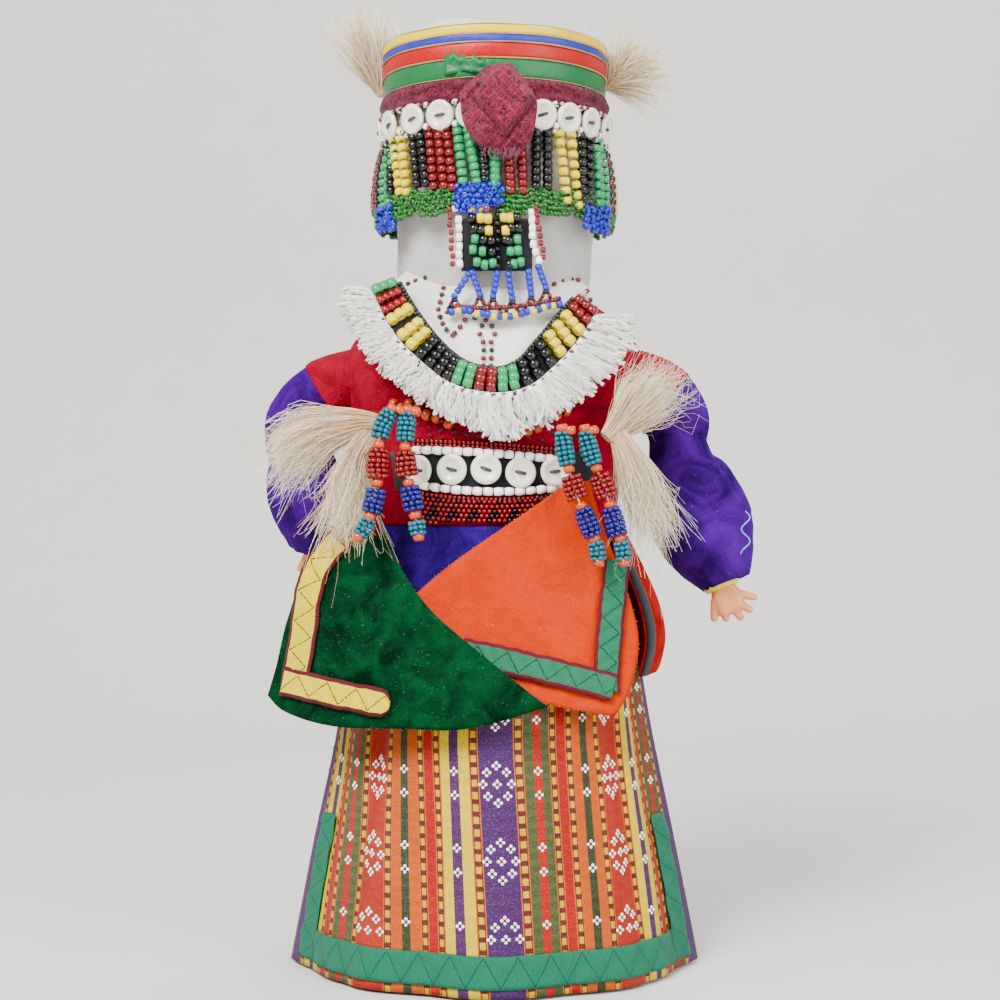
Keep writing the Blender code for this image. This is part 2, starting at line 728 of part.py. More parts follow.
def add_head():
    rings = []
    for share in (0.0, 0.11, 0.33, 0.6, 1.0):
        rings.append([head_point(turn, HEAD_BOTTOM + HEAD_HEIGHT * share) for turn in turns(HEAD_SIDES)])
    add_loft("head_veil", rings, "white_cloth")
    low = HEAD_TOP + GAP
    high = low + HAT_HEIGHT
    hat_rings = []
    for height, share in ((low, 1.0), (high, 1.0), (high + HAT_DOME, HAT_CROWN)):
        radius = HEAD_RADIUS * share
        hat_rings.append([around(turn, radius, radius, height) for turn in turns(HEAD_SIDES)])
    add_loft("hat", hat_rings, "white_cloth")
    inner = HEAD_RADIUS + GAP
    for colour, height, finish in RIBBONS:
        add_ring(f"hat_ribbon_{colour}", low, low + height, inner, inner + RIBBON_THICKNESS, finish)
        low += height + GAP / 2


def add_headband():
    inner = HEAD_RADIUS + GAP
    outer = inner + HEADBAND_THICKNESS
    add_ring("headband", HEADBAND_BOTTOM, HEAD_TOP, inner, outer, "burgundy_cloth")
    lean = BUTTON_RADIUS * math.sin(HEAD_BUTTON_LEAN)
    seat = outer + GAP + lean
    step = (2 * BUTTON_RADIUS + HEAD_BUTTON_SPACE) / seat
    for n in range(HEAD_BUTTONS):
        angle = (n - (HEAD_BUTTONS - 1) / 2) * step
        outward = Vector((math.sin(angle), -math.cos(angle), -math.sin(HEAD_BUTTON_LEAN))).normalized()
        add_button(f"head_button_{n + 1:02d}", around(angle, seat, seat, HEAD_BUTTON_MIDDLE), outward)
    add_knot(seat + BUTTON_THICKNESS + lean + GAP)


def add_knot(back):
    """The headband's knot, a soft diamond whose back is that far in front of the axis."""
    middle = HEADBAND_BOTTOM - KNOT_DROP
    rings = []
    for ahead, share in ((0.0, 0.9), (0.3, 1.0), (0.7, 0.8), (1.0, 0.42)):
        ring = []
        for turn in turns(14):
            pull = share * (1.0 - 0.16 * abs(math.sin(2 * turn)))
            x = KNOT_MIDDLE + math.cos(turn) * KNOT_HALF_WIDTH * pull
            z = middle + math.sin(turn) * KNOT_HALF_HEIGHT * pull
            ring.append((x, -back - KNOT_DEPTH * ahead, z))
        rings.append(ring)
    add_loft("headband_knot", rings, "burgundy_cloth")


def curtain_lift(height):
    """How far the curtain stands off the veil: close under the buttons and loose at the edging."""
    share = (CURTAIN_TOP - height) / CURTAIN_HEIGHT
    swell = CURTAIN_SWELL * math.sin(min(share * 1.3, 1.0) * math.pi / 2)
    return CURTAIN_CLEARANCE + swell - CURTAIN_TUCK * (1 - share)


def add_curtain():
    """Pairs of bead strands between the row under the buttons and the beaded edging, fused as one."""
    cells = CURTAIN_PAIRS * 3
    strands = spread(CURTAIN_BOTTOM + CURTAIN_EDGING, CURTAIN_TOP - CURTAIN_TOP_ROW, STRAND_ROWS)
    grid = []
    for r, height in enumerate([CURTAIN_BOTTOM] + strands + [CURTAIN_TOP]):
        out = curtain_lift(height) + STRAND_LUMP * (r % 2)
        angles = [math.pi + 2 * math.pi * (c % cells) / cells for c in range(cells + 1)]
        grid.append([head_point(angle, height, out) for angle in angles])
    curtain = add_sheet(
        "bead_curtain",
        grid,
        CURTAIN_THICKNESS,
        "glass_beads",
        lambda r, c: r in (0, STRAND_ROWS + 1) or c % 3 != 2,
    )
    work = bmesh.new()
    work.from_mesh(curtain.data)
    bmesh.ops.remove_doubles(work, verts=work.verts, dist=GAP * MM / 10)
    work.to_mesh(curtain.data)
    work.free()


def add_face_strip():
    stand_off = head_radius(STRIP_BOTTOM) + STRIP_STAND_OFF

    def depth(x):
        return -stand_off + STRIP_CURVE * (x - STRIP_MIDDLE) ** 2

    columns = spread(STRIP_MIDDLE - STRIP_HALF_WIDTH, STRIP_MIDDLE + STRIP_HALF_WIDTH, 6)
    grid = [[Vector((x, depth(x), z)) for x in columns] for z in spread(STRIP_BOTTOM, STRIP_TOP, 3)]
    add_sheet("face_strip", grid, STRIP_THICKNESS, "black_cloth")
    high = STRIP_BOTTOM - GAP
    fringe = []
    for share in spread(1.0, 0.0, 4):
        half = STRIP_HALF_WIDTH + (STRIP_FRINGE_HALF_WIDTH - STRIP_HALF_WIDTH) * share
        row = []
        for s in spread(-1.0, 1.0, 10):
            x = STRIP_MIDDLE + half * s
            z = high - STRIP_FRINGE_LENGTH * share + 2.0 * share * s * s
            row.append(Vector((x, depth(x * 0.8) - STRIP_FRINGE_LEAN * share, z)))
        fringe.append(row)
    add_sheet("face_strip_fringe", fringe, STRIP_THICKNESS, "glass_beads")


def add_collar():
    curves = (NECK_CURVE, COLLAR_INNER, COLLAR_OUTER, FRINGE_OUTER)
    neck, inner, outer, ends = [along(placed(c, NECK_DEPTH, TORSO_TOP + GAP), COLLAR_COLUMNS) for c in curves]
    middle = [a.lerp(b, 0.5) + Vector((0, -0.6, 0)) for a, b in zip(neck, inner)]
    add_sheet("bib", [outer, inner, middle, neck], BIB_THICKNESS, "white_cloth")
    beads = lifted([outer, inner], BIB_THICKNESS + GAP)
    add_sheet("collar_beads", beads, COLLAR_BEAD_THICKNESS, "glass_beads")
    start = [a.lerp(b, FRINGE_START) for a, b in zip(outer, ends)]
    half = [a.lerp(b, 0.5) + Vector((0, -0.8, 0)) for a, b in zip(outer, ends)]
    add_sheet("collar_fringe", [ends, half, start], FRINGE_THICKNESS, "white_yarn")


def add_strings():
    for place, line in STRINGS.items():
        middle = along(placed(line, CHEST_DEPTH, TORSO_TOP + GAP), STRING_STEPS + 1)
        beads = [(*middle[round(share * STRING_STEPS)], radius) for share, radius in STRING_PROFILE]
        add_swept(f"bead_string_{place}", beads, "glass_beads", sides=5)


def add_brush(name, line):
    return add_swept(name, along(line, 6), "goat_hair", sides=8, flatten=TUFT_FLATTEN)


def add_tufts():
    foot = HEAD_TOP + GAP
    for place, side, line in (("left", -1, HAT_TUFT_LEFT), ("right", 1, HAT_TUFT_RIGHT)):
        points = [(side * (HEAD_RADIUS + x), y, foot + z, radius) for x, y, z, radius in line]
        add_brush(f"hat_tuft_{place}", points)
    chest_tufts = {
        "chest_tuft_left": (CHEST_TUFT_LEFT_SIDE, CHEST_TUFT_LEFT_DOWN),
        "chest_tuft_right": (CHEST_TUFT_RIGHT_SIDE, CHEST_TUFT_RIGHT_DOWN),
    }
    for name, brushes in chest_tufts.items():
        first, second = [placed(line, CHEST_DEPTH, TORSO_TOP + GAP) for line in brushes]
        add_boolean(add_brush(name, first), add_brush(f"{name}_second", second), "UNION")


for old in list(bpy.data.objects):
    bpy.data.objects.remove(old, do_unlink=True)

materials = {}
for title, (colour, roughness, metallic) in FINISHES.items():
    material = bpy.data.materials.new(title)
    material.use_nodes = True
    shader = material.node_tree.nodes["Principled BSDF"]
    shader.inputs["Base Color"].default_value = (*colour, 1.0)
    shader.inputs["Roughness"].default_value = roughness
    shader.inputs["Metallic"].default_value = metallic
    material.diffuse_color = (*colour, 1.0)
    materials[title] = material

add_skirt()
add_apron()
add_jacket()
add_chest()
add_flaps()
add_arm("right", RIGHT_SLEEVE)
add_arm("left", LEFT_SLEEVE)
add_head()
add_headband()
add_curtain()
add_face_strip()
add_collar()
add_strings()
add_tufts()
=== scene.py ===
"""Looks of the folk doll: brocade, velvet, ribbons, fine beadwork, yarn and hair, with a plain studio.

Lengths are in millimetres until a mesh is made. X runs to the right of the photograph, Y away from the
camera and Z up; u and v are columns and rows of the photograph.
"""
import random
from math import asin, ceil, cos, pi, radians, sin, sqrt

import bmesh
import bpy
from mathutils import Matrix, Vector
from mathutils.kdtree import KDTree


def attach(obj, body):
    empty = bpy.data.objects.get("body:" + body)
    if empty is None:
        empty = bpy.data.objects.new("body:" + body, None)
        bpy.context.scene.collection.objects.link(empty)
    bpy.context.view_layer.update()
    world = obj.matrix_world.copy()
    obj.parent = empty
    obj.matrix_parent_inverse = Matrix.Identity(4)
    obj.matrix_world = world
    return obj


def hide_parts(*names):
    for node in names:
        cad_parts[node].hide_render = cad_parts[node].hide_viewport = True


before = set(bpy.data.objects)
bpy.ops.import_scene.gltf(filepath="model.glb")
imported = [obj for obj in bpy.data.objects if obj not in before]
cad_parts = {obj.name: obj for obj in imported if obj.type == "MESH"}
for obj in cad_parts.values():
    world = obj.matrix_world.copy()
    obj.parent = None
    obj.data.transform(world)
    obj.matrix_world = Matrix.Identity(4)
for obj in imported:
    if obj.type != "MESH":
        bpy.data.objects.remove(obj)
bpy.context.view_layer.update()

MM = 0.001
# How much strong colours are darkened, and how much of that yellows are spared
DEEPENING = 0.54
YELLOW_SPARED = 0.62
CAMERA_AWAY = 665.0
CAMERA_HEIGHT = 161.0
CAMERA_ASIDE = 2.0
PIXEL = 0.36
IMAGE_CENTRE = 500.0

SKIRT_HEIGHT = 127.6
HEM_RADIUS = 71.5
SKIRT_PROFILE = ((0, HEM_RADIUS), (0.29, 64.5), (0.61, 56), (1, 47.5))
SKIRT_FOLDS = 9
SKIRT_FOLD_DEPTH = 1.3
APRON_HALF_ANGLE = radians(74)
APRON_HEM = 1.2
APRON_TOP = 118.0
WAIST_Z = 128.0
WAIST_DEPTH = 47.5
TORSO_HEIGHT = 103.6
TORSO_PROFILE = ((0, 49, 47.5), (0.12, 46, 44), (0.23, 44, 41.5), (0.36, 44.5, 41), (0.5, 47, 41.5),
                 (0.65, 52, 41.5), (0.77, 54, 39), (0.87, 50, 36), (0.95, 42, 32.5), (1, 34, 29))
JACKET_SKIRT_PROFILE = ((-28, 11), (-16, 13.5), (-4, 11.5), (9, 6), (22, -0.5))
JACKET_SKIRT_HEIGHT = 50
JACKET_SKIRT_SIDES = (radians(60), radians(296))
# Rows of the photograph, and where the jacket's turned left edge ends in each
TURNED_EDGE = ((490, 358), (498, 351), (508, 344), (518, 338), (530, 331), (544, 321), (556, 313),
               (564, 311))
TURNED_EDGE_INNER = 368
COLLAR_DEPTH, COLLAR_Z = 29, 232
STRING_DEPTH = 41
HEAD_BOTTOM, HEAD_HEIGHT = 232.0, 71.8
HEAD_PROFILE = ((0, 33), (0.11, 34), (0.28, 34.6), (0.47, 36.5), (0.7, 38.3), (1, 39))
HAT_RADIUS = 39.0
HAT_Z, HAT_TOP = 304.2, 322.8


def smooth_value(table, height, column=1):
    """A column of a table at a height, on a smooth curve through its rows."""
    spans = len(table) - 1
    i = min(max(sum(height > row[0] for row in table) - 1, 0), spans - 1)
    low, high = table[i], table[i + 1]
    before, after = table[max(i - 1, 0)], table[min(i + 2, spans)]
    width = high[0] - low[0]
    t = min(max((height - low[0]) / width, 0.0), 1.0)
    start_slope = (high[column] - before[column]) / (high[0] - before[0]) * width
    end_slope = (after[column] - low[column]) / (after[0] - low[0]) * width
    return (low[column] * (2 * t**3 - 3 * t**2 + 1) + start_slope * (t**3 - 2 * t**2 + t)
            + high[column] * (3 * t**2 - 2 * t**3) + end_slope * (t**3 - t**2))


def along(points, count, samples=12):
    """Evenly spaced points on a smooth curve through the given ones."""
    rows = [Vector(point) for point in points]
    dense = []
    for i in range(len(rows) - 1):
        a, b, c, d = rows[max(i - 1, 0)], rows[i], rows[i + 1], rows[min(i + 2, len(rows) - 1)]
        for step in range(samples):
            t = step / samples
            square, cube = 2 * a - 5 * b + 4 * c - d, 3 * b - a - 3 * c + d
            dense.append((2 * b + (c - a) * t + square * t * t + cube * t**3) / 2)
    dense.append(rows[-1])
    reach = lengths(dense)
    result = []
    i = 0
    for step in range(count):
        wanted = reach[-1] * step / (count - 1)
        while i < len(dense) - 2 and reach[i + 1] < wanted:
            i += 1
        span = reach[i + 1] - reach[i]
        result.append(dense[i].lerp(dense[i + 1], (wanted - reach[i]) / span if span else 0.0))
    return result


def lengths(points, scale=1.0):
    """How far along a line of points each one lies."""
    reach = [0.0]
    for first, second in zip(points, points[1:]):
        reach.append(reach[-1] + (second - first).length * scale)
    return reach


def bell(x):
    """1 at zero, falling away smoothly on both sides."""
    return pow(2.718, -(x**2))


def grid_of(rows, columns, place):
    """Rows of points from a function of row and column."""
    return [[place(r, c) for c in range(columns)] for r in range(rows)]


def curve_length(points):
    return sum((b - a).length for a, b in zip(points, points[1:]))


def at(u, v, y):
    """The point of the model, at depth y, that the photograph shows at column u and row v."""
    scale = PIXEL * (CAMERA_AWAY + y) / CAMERA_AWAY
    return Vector(((u - IMAGE_CENTRE) * scale + CAMERA_ASIDE, y, CAMERA_HEIGHT + (IMAGE_CENTRE - v) * scale))


def pixel_of(point):
    """Where the photograph shows a point."""
    scale = PIXEL * (CAMERA_AWAY + point.y) / CAMERA_AWAY
    return (point.x - CAMERA_ASIDE) / scale + IMAGE_CENTRE, IMAGE_CENTRE - (point.z - CAMERA_HEIGHT) / scale


def around(angle, half_width, half_depth, z):
    """A point of an oval round the doll's axis; the angle is 0 in front and grows towards +X."""
    return Vector((half_width * sin(angle), -half_depth * cos(angle), z))


def torso_size(z, out):
    """Half width and half depth of the jacket at a height, lifted by out."""
    share = (z - WAIST_Z) / TORSO_HEIGHT
    return smooth_value(TORSO_PROFILE, share) + out, smooth_value(TORSO_PROFILE, share, 2) + out


def on_torso(u, v, out):
    """The point on the jacket's front, lifted by out, that the photograph shows at u and v."""
    y = -WAIST_DEPTH
    for _ in range(4):
        point = at(u, v, y)
        half_width, half_depth = torso_size(point.z, out)
        side = min(max(point.x / half_width, -0.97), 0.97)
        y = -half_depth * cos(asin(side))
    return at(u, v, y)


def skirt_point(angle, height, out=0.0):
    share = height / SKIRT_HEIGHT
    fold = SKIRT_FOLD_DEPTH * (1 - share) * cos(SKIRT_FOLDS * angle)
    radius = smooth_value(SKIRT_PROFILE, share) + fold + out
    return around(angle, radius, radius, height)


def head_radius(z):
    return smooth_value(HEAD_PROFILE, (z - HEAD_BOTTOM) / HEAD_HEIGHT)


def placed(points, depth, height):
    """Rows of x, distance ahead of depth and height above height, as places; further columns stay."""
    return [(p[0], -depth - p[1], height + p[2], *p[3:]) for p in points]


def patch(bottom, top, left, right, columns, rows):
    """A grid of points filling four edge curves."""
    low, high = along(bottom, columns), along(top, columns)
    west, east = along(left, rows), along(right, rows)
    grid = []
    for r in range(rows):
        v = r / (rows - 1)
        row = []
        for c in range(columns):
            u = c / (columns - 1)
            sides = west[r].lerp(east[r], u)
            ends = low[c].lerp(high[c], v)
            corners = low[0].lerp(low[-1], u).lerp(high[0].lerp(high[-1], u), v)
            row.append(sides + ends - corners)
        grid.append(row)
    return grid


def outward(grid, r, c):
    """The way that a grid faces at one of its points."""
    rows, columns = len(grid), len(grid[0])
    east = grid[r][min(c + 1, columns - 1)] - grid[r][max(c - 1, 0)]
    north = grid[min(r + 1, rows - 1)][c] - grid[max(r - 1, 0)][c]
    return east.cross(north).normalized()


def lifted(grid, out):
    """The grid moved along its own outward side; out is a number or a function of row and column."""
    lift = out if callable(out) else lambda r, c: out
    return [[grid[r][c] + outward(grid, r, c) * lift(r, c) for c in range(len(grid[0]))]
            for r in range(len(grid))]


def loose_way(source, far=1.0, near=-1.0):
    """A random direction that leans away from the camera by at most far and towards it by near."""
    return Vector((source.uniform(-1, 1), source.uniform(near, far), source.uniform(-1, 1))).normalized()


def ripple(*place):
    """A smooth, repeatable value between about -1 and 1 at a place in space."""
    x, y, z = (list(place) + [0, 0])[:3]
    return (sin(1.3 * x + 0.7 * y + 1.1) * cos(0.9 * y - 1.7 * z) + sin(0.6 * z + 1.9 * x + 2.3)) / 2


def tone(red, green, blue):
    """Screen colour from 0 to 255 as the linear colour a shader takes; strong colours come out deeper."""
    linear = [c / 255 / 12.92 if c <= 10 else ((c / 255 + 0.055) / 1.055) ** 2.4 for c in (red, green, blue)]
    peak = max(max(linear), 0.001)
    strength = (peak - min(linear)) / peak * (1 - YELLOW_SPARED * min(linear[:2]) / peak)
    return tuple(c * (1 - DEEPENING * strength) for c in linear) + (1,)


def mesh_of(name, points, faces, coordinates=None, smooth=True):
    """A mesh in metres from points in millimetres, with a UV for every point where given."""
    mesh = bpy.data.meshes.new(name)
    mesh.from_pydata([tuple(p * MM) for p in points], [], faces)
    if coordinates:
        layer = mesh.uv_layers.new(name="UVMap")
        for loop in mesh.loops:
            layer.data[loop.index].uv = coordinates[loop.vertex_index]
    if smooth:
        mesh.polygons.foreach_set("use_smooth", [True] * len(mesh.polygons))
    return mesh


def add_piece(name, mesh, material, slot, *nodes):
    """A visible piece on the doll's one body, in place of the named solids."""
    piece = bpy.data.objects.new(name, mesh)
    bpy.context.scene.collection.objects.link(piece)
    if material:
        mesh.materials.clear()
        mesh.materials.append(material)
    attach(piece, "root")
    if nodes:
        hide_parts(*nodes)
    return piece


def arcs(grid):
    """Distances across and up a grid, in metres, as a UV for every point."""
    middle = len(grid[0]) // 2
    return lengths(grid[len(grid) // 2], MM), lengths([row[middle] for row in grid], MM)


def shell(name, grid, thickness, closed=False, rim=0.3, inward=True):
    """A sheet of cloth with a rounded edge: its outer face is the grid, its inner one lies within."""
    rows, columns = len(grid), len(grid[0])
    sign = -1 if inward else 1
    outer, inner, uv = [], [], []
    across, up = arcs(grid)
    for r in range(rows):
        for c in range(columns):
            if closed:
                east = grid[r][(c + 1) % columns] - grid[r][c - 1]
                north = grid[min(r + 1, rows - 1)][c] - grid[max(r - 1, 0)][c]
                side = east.cross(north).normalized()
            else:
                side = outward(grid, r, c)
            border = r in (0, rows - 1) or (not closed and c in (0, columns - 1))
            edge = rim if border else 0.0
            outer.append(grid[r][c] + side * sign * thickness * edge)
            inner.append(grid[r][c] + side * sign * thickness * (1 - edge))
            uv.append((across[c], up[r]))
    points = outer + inner
    shift = rows * columns
    faces = []
    span = columns if closed else columns - 1
    for r in range(rows - 1):
        for c in range(span):
            d = (c + 1) % columns
            a, b, e, f = r * columns + c, r * columns + d, (r + 1) * columns + d, (r + 1) * columns + c
            faces.append((a, b, e, f))
            faces.append((shift + f, shift + e, shift + b, shift + a))
    for c in range(span):
        d = (c + 1) % columns
        last = (rows - 1) * columns
        faces.append((c, shift + c, shift + d, d))
        faces.append((last + d, shift + last + d, shift + last + c, last + c))
    if not closed:
        for r in range(rows - 1):
            a, b = r * columns, (r + 1) * columns
            faces.append((a, b, shift + b, shift + a))
            a, b = a + columns - 1, b + columns - 1
            faces.append((b, a, shift + a, shift + b))
    if not inward:
        points = inner + outer
    return mesh_of(name, points, faces, uv + uv)


def loft(name, rings):
    """A closed body through rings of points, its ends closed by a small middle point."""
    count = len(rings[0])
    points = [p for ring in rings for p in ring]
    heights = lengths([sum(ring, Vector()) for ring in rings], MM / count)
    reach = max(curve_length(ring + ring[:1]) for ring in rings) * MM
    uv = [(reach * i / count, heights[r]) for r in range(len(rings)) for i in range(count)]
    faces = []
    for r in range(len(rings) - 1):
        for i in range(count):
            j = (i + 1) % count
            faces.append((r * count + i, r * count + j, (r + 1) * count + j, (r + 1) * count + i))
    for ring, last in ((0, False), (len(rings) - 1, True)):
        middle = len(points)
        points.append(sum(rings[ring], Vector()) / count)
        uv.append((0, heights[ring]))
        for i in range(count):
            j = (i + 1) % count
            a, b = ring * count + i, ring * count + j
            faces.append((a, b, middle) if last else (b, a, middle))
    return mesh_of(name, points, faces, uv)


def outward_mesh(mesh):
    """Turn a closed mesh the right way out if it is inside out."""
    work = bmesh.new()
    work.from_mesh(mesh)
    bmesh.ops.recalc_face_normals(work, faces=work.faces)
    if work.calc_volume(signed=True) < 0:
        bmesh.ops.reverse_faces(work, faces=work.faces)
    work.to_mesh(mesh)
    work.free()
    return mesh


def tube_rings(path, radius, sides, wobble=None, flat=1.0):
    """Rings round a path; radius is a function of the share along it, flat squeezes them in depth."""
    last = len(path) - 1
    rings = []
    for i, middle in enumerate(path):
        ahead = (path[min(i + 1, last)] - path[max(i - 1, 0)]).normalized()
        across = Vector((0, 1, 0)).cross(ahead)
        across = across.normalized() if across.length > 0.05 else Vector((1, 0, 0))
        deep = ahead.cross(across).normalized()
        ring = []
        for k in range(sides):
            turn = 2 * pi * k / sides
            size = radius(i / last) * (1 + (wobble(turn, i / last) if wobble else 0))
            ring.append(middle + across * size * cos(turn) + deep * size * flat * sin(turn))
        rings.append(ring)
    return rings


def new(tree, kind, inputs=None, **settings):
    """A node with its settings, and inputs given as plain values or as sockets to link."""
    node = tree.nodes.new(kind)
    for key, value in settings.items():
        setattr(node, key, value)
    for key, value in (inputs or {}).items():
        if isinstance(value, bpy.types.NodeSocket):
            tree.links.new(value, node.inputs[key])
        else:
            node.inputs[key].default_value = value
    return node


def maths(tree, operation, first, second=0.0, third=0.0):
    node = new(tree, "ShaderNodeMath", {0: first, 1: second, 2: third}, operation=operation)
    return node.outputs[0]


def mixed(tree, factor, first, second, blend="MIX"):
    node = new(tree, "ShaderNodeMix", {0: factor, 6: first, 7: second}, data_type="RGBA", blend_type=blend)
    return node.outputs[2]


def stretched(tree, value, low, high, bottom=0.0, top=1.0):
    node = new(tree, "ShaderNodeMapRange", {"Value": value, "From Min": low, "From Max": high,
                                            "To Min": bottom, "To Max": top})
    return node.outputs[0]


def noise(tree, vector, scale, detail=2.0, roughness=0.5, distortion=0.0):
    node = new(tree, "ShaderNodeTexNoise", {"Vector": vector, "Scale": scale, "Detail": detail,
                                            "Roughness": roughness, "Distortion": distortion})
    return node.outputs[0]


def shader_group(name, inputs, outputs):
    """A node group with named inputs and outputs, and its inner input and output nodes."""
    tree = bpy.data.node_groups.new(name, "ShaderNodeTree")
    for key, kind in inputs:
        tree.interface.new_socket(key, in_out="INPUT", socket_type="NodeSocket" + kind)
    for key, kind in outputs:
        tree.interface.new_socket(key, in_out="OUTPUT", socket_type="NodeSocket" + kind)
    return tree, new(tree, "NodeGroupInput").outputs, new(tree, "NodeGroupOutput").inputs


def pile_group():
    """Velvet: crushed pile in broad blotches and fine fibres, with painted sheen where they rise and painted
    shade where they sink.
    """
    tree, given, result = shader_group("velvet_pile",
                                       (("Vector", "Vector"), ("Deep", "Color"), ("Lit", "Color"),
                                                       ("Patch Scale", "Float")),
                                       (("Color", "Color"), ("Height", "Float"), ("Roughness", "Float")))
    crush_and_sheen_patches = stretched(tree, noise(tree, given["Vector"], given["Patch Scale"], 4, 0.6, 0.8), 0.36, 0.68)
    fibres = noise(tree, given["Vector"], 2300, 2, 0.6)
    lint = stretched(tree, noise(tree, given["Vector"], 1500, 1), 0.7, 0.8)
    # Colour runs from deep to lit as the fibres and crushed blotches rise: painted sheen and painted shade
    # over the pile's random crush; the lint specks are real.
    amount = maths(tree, "MULTIPLY_ADD", fibres, 0.55, maths(tree, "MULTIPLY_ADD", crush_and_sheen_patches, 0.75, -0.2))
    shade = mixed(tree, amount, given["Deep"], given["Lit"])
    shade = mixed(tree, maths(tree, "MULTIPLY", lint, 0.15), shade, (0.5, 0.45, 0.42, 1))
    tree.links.new(shade, result["Color"])
    tree.links.new(maths(tree, "MULTIPLY_ADD", crush_and_sheen_patches, 1.5, fibres), result["Height"])
    tree.links.new(stretched(tree, crush_and_sheen_patches, 0, 1, 0.95, 0.7), result["Roughness"])
    return tree


def weave_group():
    """Plain weave on the cloth's own coordinates, with soft colour and height variation."""
    tree, given, result = shader_group("plain_weave",
                                       (("Vector", "Vector"), ("Pitch", "Float"), ("Deep", "Color"),
                                                       ("Lit", "Color")),
                                       (("Color", "Color"), ("Height", "Float")))
    parts = new(tree, "ShaderNodeSeparateXYZ", {0: given["Vector"]}).outputs
    turn = maths(tree, "DIVIDE", 2 * pi, given["Pitch"])
    warp = maths(tree, "SINE", maths(tree, "MULTIPLY", parts[0], turn))
    weft = maths(tree, "SINE", maths(tree, "MULTIPLY", parts[1], turn))
    threads = maths(tree, "MULTIPLY", warp, weft)
    stains = noise(tree, given["Vector"], 60, 4, 0.6)
    height = maths(tree, "MULTIPLY_ADD", stains, 1.2, maths(tree, "MULTIPLY", threads, 0.35))
    amount = maths(tree, "MULTIPLY_ADD", threads, 0.18, stretched(tree, stains, 0.3, 0.7))
    tree.links.new(mixed(tree, amount, given["Deep"], given["Lit"]), result["Color"])
    tree.links.new(height, result["Height"])
    return tree


def grain_group():
    """Fine colour and height variation for smooth things: satin, glass, vinyl and hair."""
    tree, given, result = shader_group("soft_grain",
                                       (("Vector", "Vector"), ("Scale", "Float"), ("Color", "Color"),
                                                      ("Spread", "Float")),
                                       (("Color", "Color"), ("Height", "Float"), ("Roughness", "Float")))
    value = noise(tree, given["Vector"], given["Scale"], 3, 0.6)
    centred = maths(tree, "SUBTRACT", value, 0.5)
    bright = maths(tree, "MULTIPLY_ADD", centred, given["Spread"], 1.0)
    shade = new(tree, "ShaderNodeHueSaturation", {"Value": bright, "Color": given["Color"]}).outputs[0]
    tree.links.new(shade, result["Color"])
    tree.links.new(value, result["Height"])
    tree.links.new(stretched(tree, value, 0.3, 0.7, 0.22, 0.5), result["Roughness"])
    return tree


PILE = pile_group()
WEAVE = weave_group()
GRAIN = grain_group()


def start_material(name, roughness, **sockets):
    """A material, its tree, its shader and its coordinates; sockets are constants of the shader."""
    result = bpy.data.materials.new(name)
    result.use_nodes = True
    tree = result.node_tree
    shader = tree.nodes["Principled BSDF"]
    shader.inputs["Roughness"].default_value = roughness
    for key, value in sockets.items():
        shader.inputs[key.replace("_", " ")].default_value = value
    coordinates = new(tree, "ShaderNodeTexCoord").outputs
    return result, tree, shader.inputs, coordinates


def bumped(tree, sockets, height, distance):
    bump = new(tree, "ShaderNodeBump", {"Height": height, "Distance": distance * MM, "Strength": 1.0})
    tree.links.new(bump.outputs[0], sockets["Normal"])


def placed_group(tree, group, **inputs):
    given = {key.replace("_", " "): value for key, value in inputs.items()}
    return new(tree, "ShaderNodeGroup", given, node_tree=group).outputs


def velvet(name, deep, lit, sheen, patch_scale, sheen_weight):
    """Crushed velvet with its pile's deep and lit colours: painted shade and painted sheen over the random
    crush.
    """
    result, tree, sockets, place = start_material(name, 0.85, Sheen_Weight=sheen_weight,
                                                  Sheen_Roughness=0.35,
                                                  Sheen_Tint=tone(*sheen), Specular_IOR_Level=0.03)
    pile = placed_group(tree, PILE, Vector=place["Object"], Deep=tone(*deep), Lit=tone(*lit),
                        Patch_Scale=patch_scale)
    tree.links.new(pile["Color"], sockets["Base Color"])
    tree.links.new(pile["Roughness"], sockets["Roughness"])
    bumped(tree, sockets, pile["Height"], 0.35)
    return result


def woven(name, deep, lit, pitch, bump):
    """Plain woven cloth."""
    result, tree, sockets, place = start_material(name, 0.85, Sheen_Weight=0.15, Specular_IOR_Level=0.1)
    cloth = placed_group(tree, WEAVE, Vector=place["UV"], Pitch=pitch * MM, Deep=tone(*deep), Lit=tone(*lit))
    tree.links.new(cloth["Color"], sockets["Base Color"])
    bumped(tree, sockets, cloth["Height"], bump)
    return result


def crepe(name, deep, lit, quilt=0.0):
    """Crinkled dull cloth with pale flecks and painted shade in its creases; a fine quilted grid where quilt
    gives its pitch.
    """
    result, tree, sockets, place = start_material(name, 0.85, Sheen_Weight=0.08, Specular_IOR_Level=0.08)
    crinkle_and_crease_shade = noise(tree, place["Object"], 330, 3, 0.65, 1.6)
    flecks = stretched(tree, noise(tree, place["Object"], 1500, 2, 0.7), 0.56, 0.72, 0, 0.3)
    # Deep colour in the creases and lit colour on the ridges of the bump: painted shade and painted light
    shade = mixed(tree, stretched(tree, crinkle_and_crease_shade, 0.36, 0.64), tone(*deep), tone(*lit))
    shade = mixed(tree, flecks, shade, tone(224, 138, 158))
    height = maths(tree, "MULTIPLY_ADD", crinkle_and_crease_shade, 3.0, flecks)
    if quilt:
        parts = new(tree, "ShaderNodeSeparateXYZ", {0: place["UV"]}).outputs
        lines = [maths(tree, "PINGPONG", parts[axis], quilt / 2 * MM) for axis in (0, 1)]
        near = stretched(tree, maths(tree, "MINIMUM", *lines), 0.24 * MM, 0.08 * MM, 0, 0.17)
        shade = mixed(tree, near, shade, tone(222, 120, 140))
        height = maths(tree, "MULTIPLY_ADD", near, -1.5, height)
    tree.links.new(shade, sockets["Base Color"])
    bumped(tree, sockets, height, 0.4)
    return result


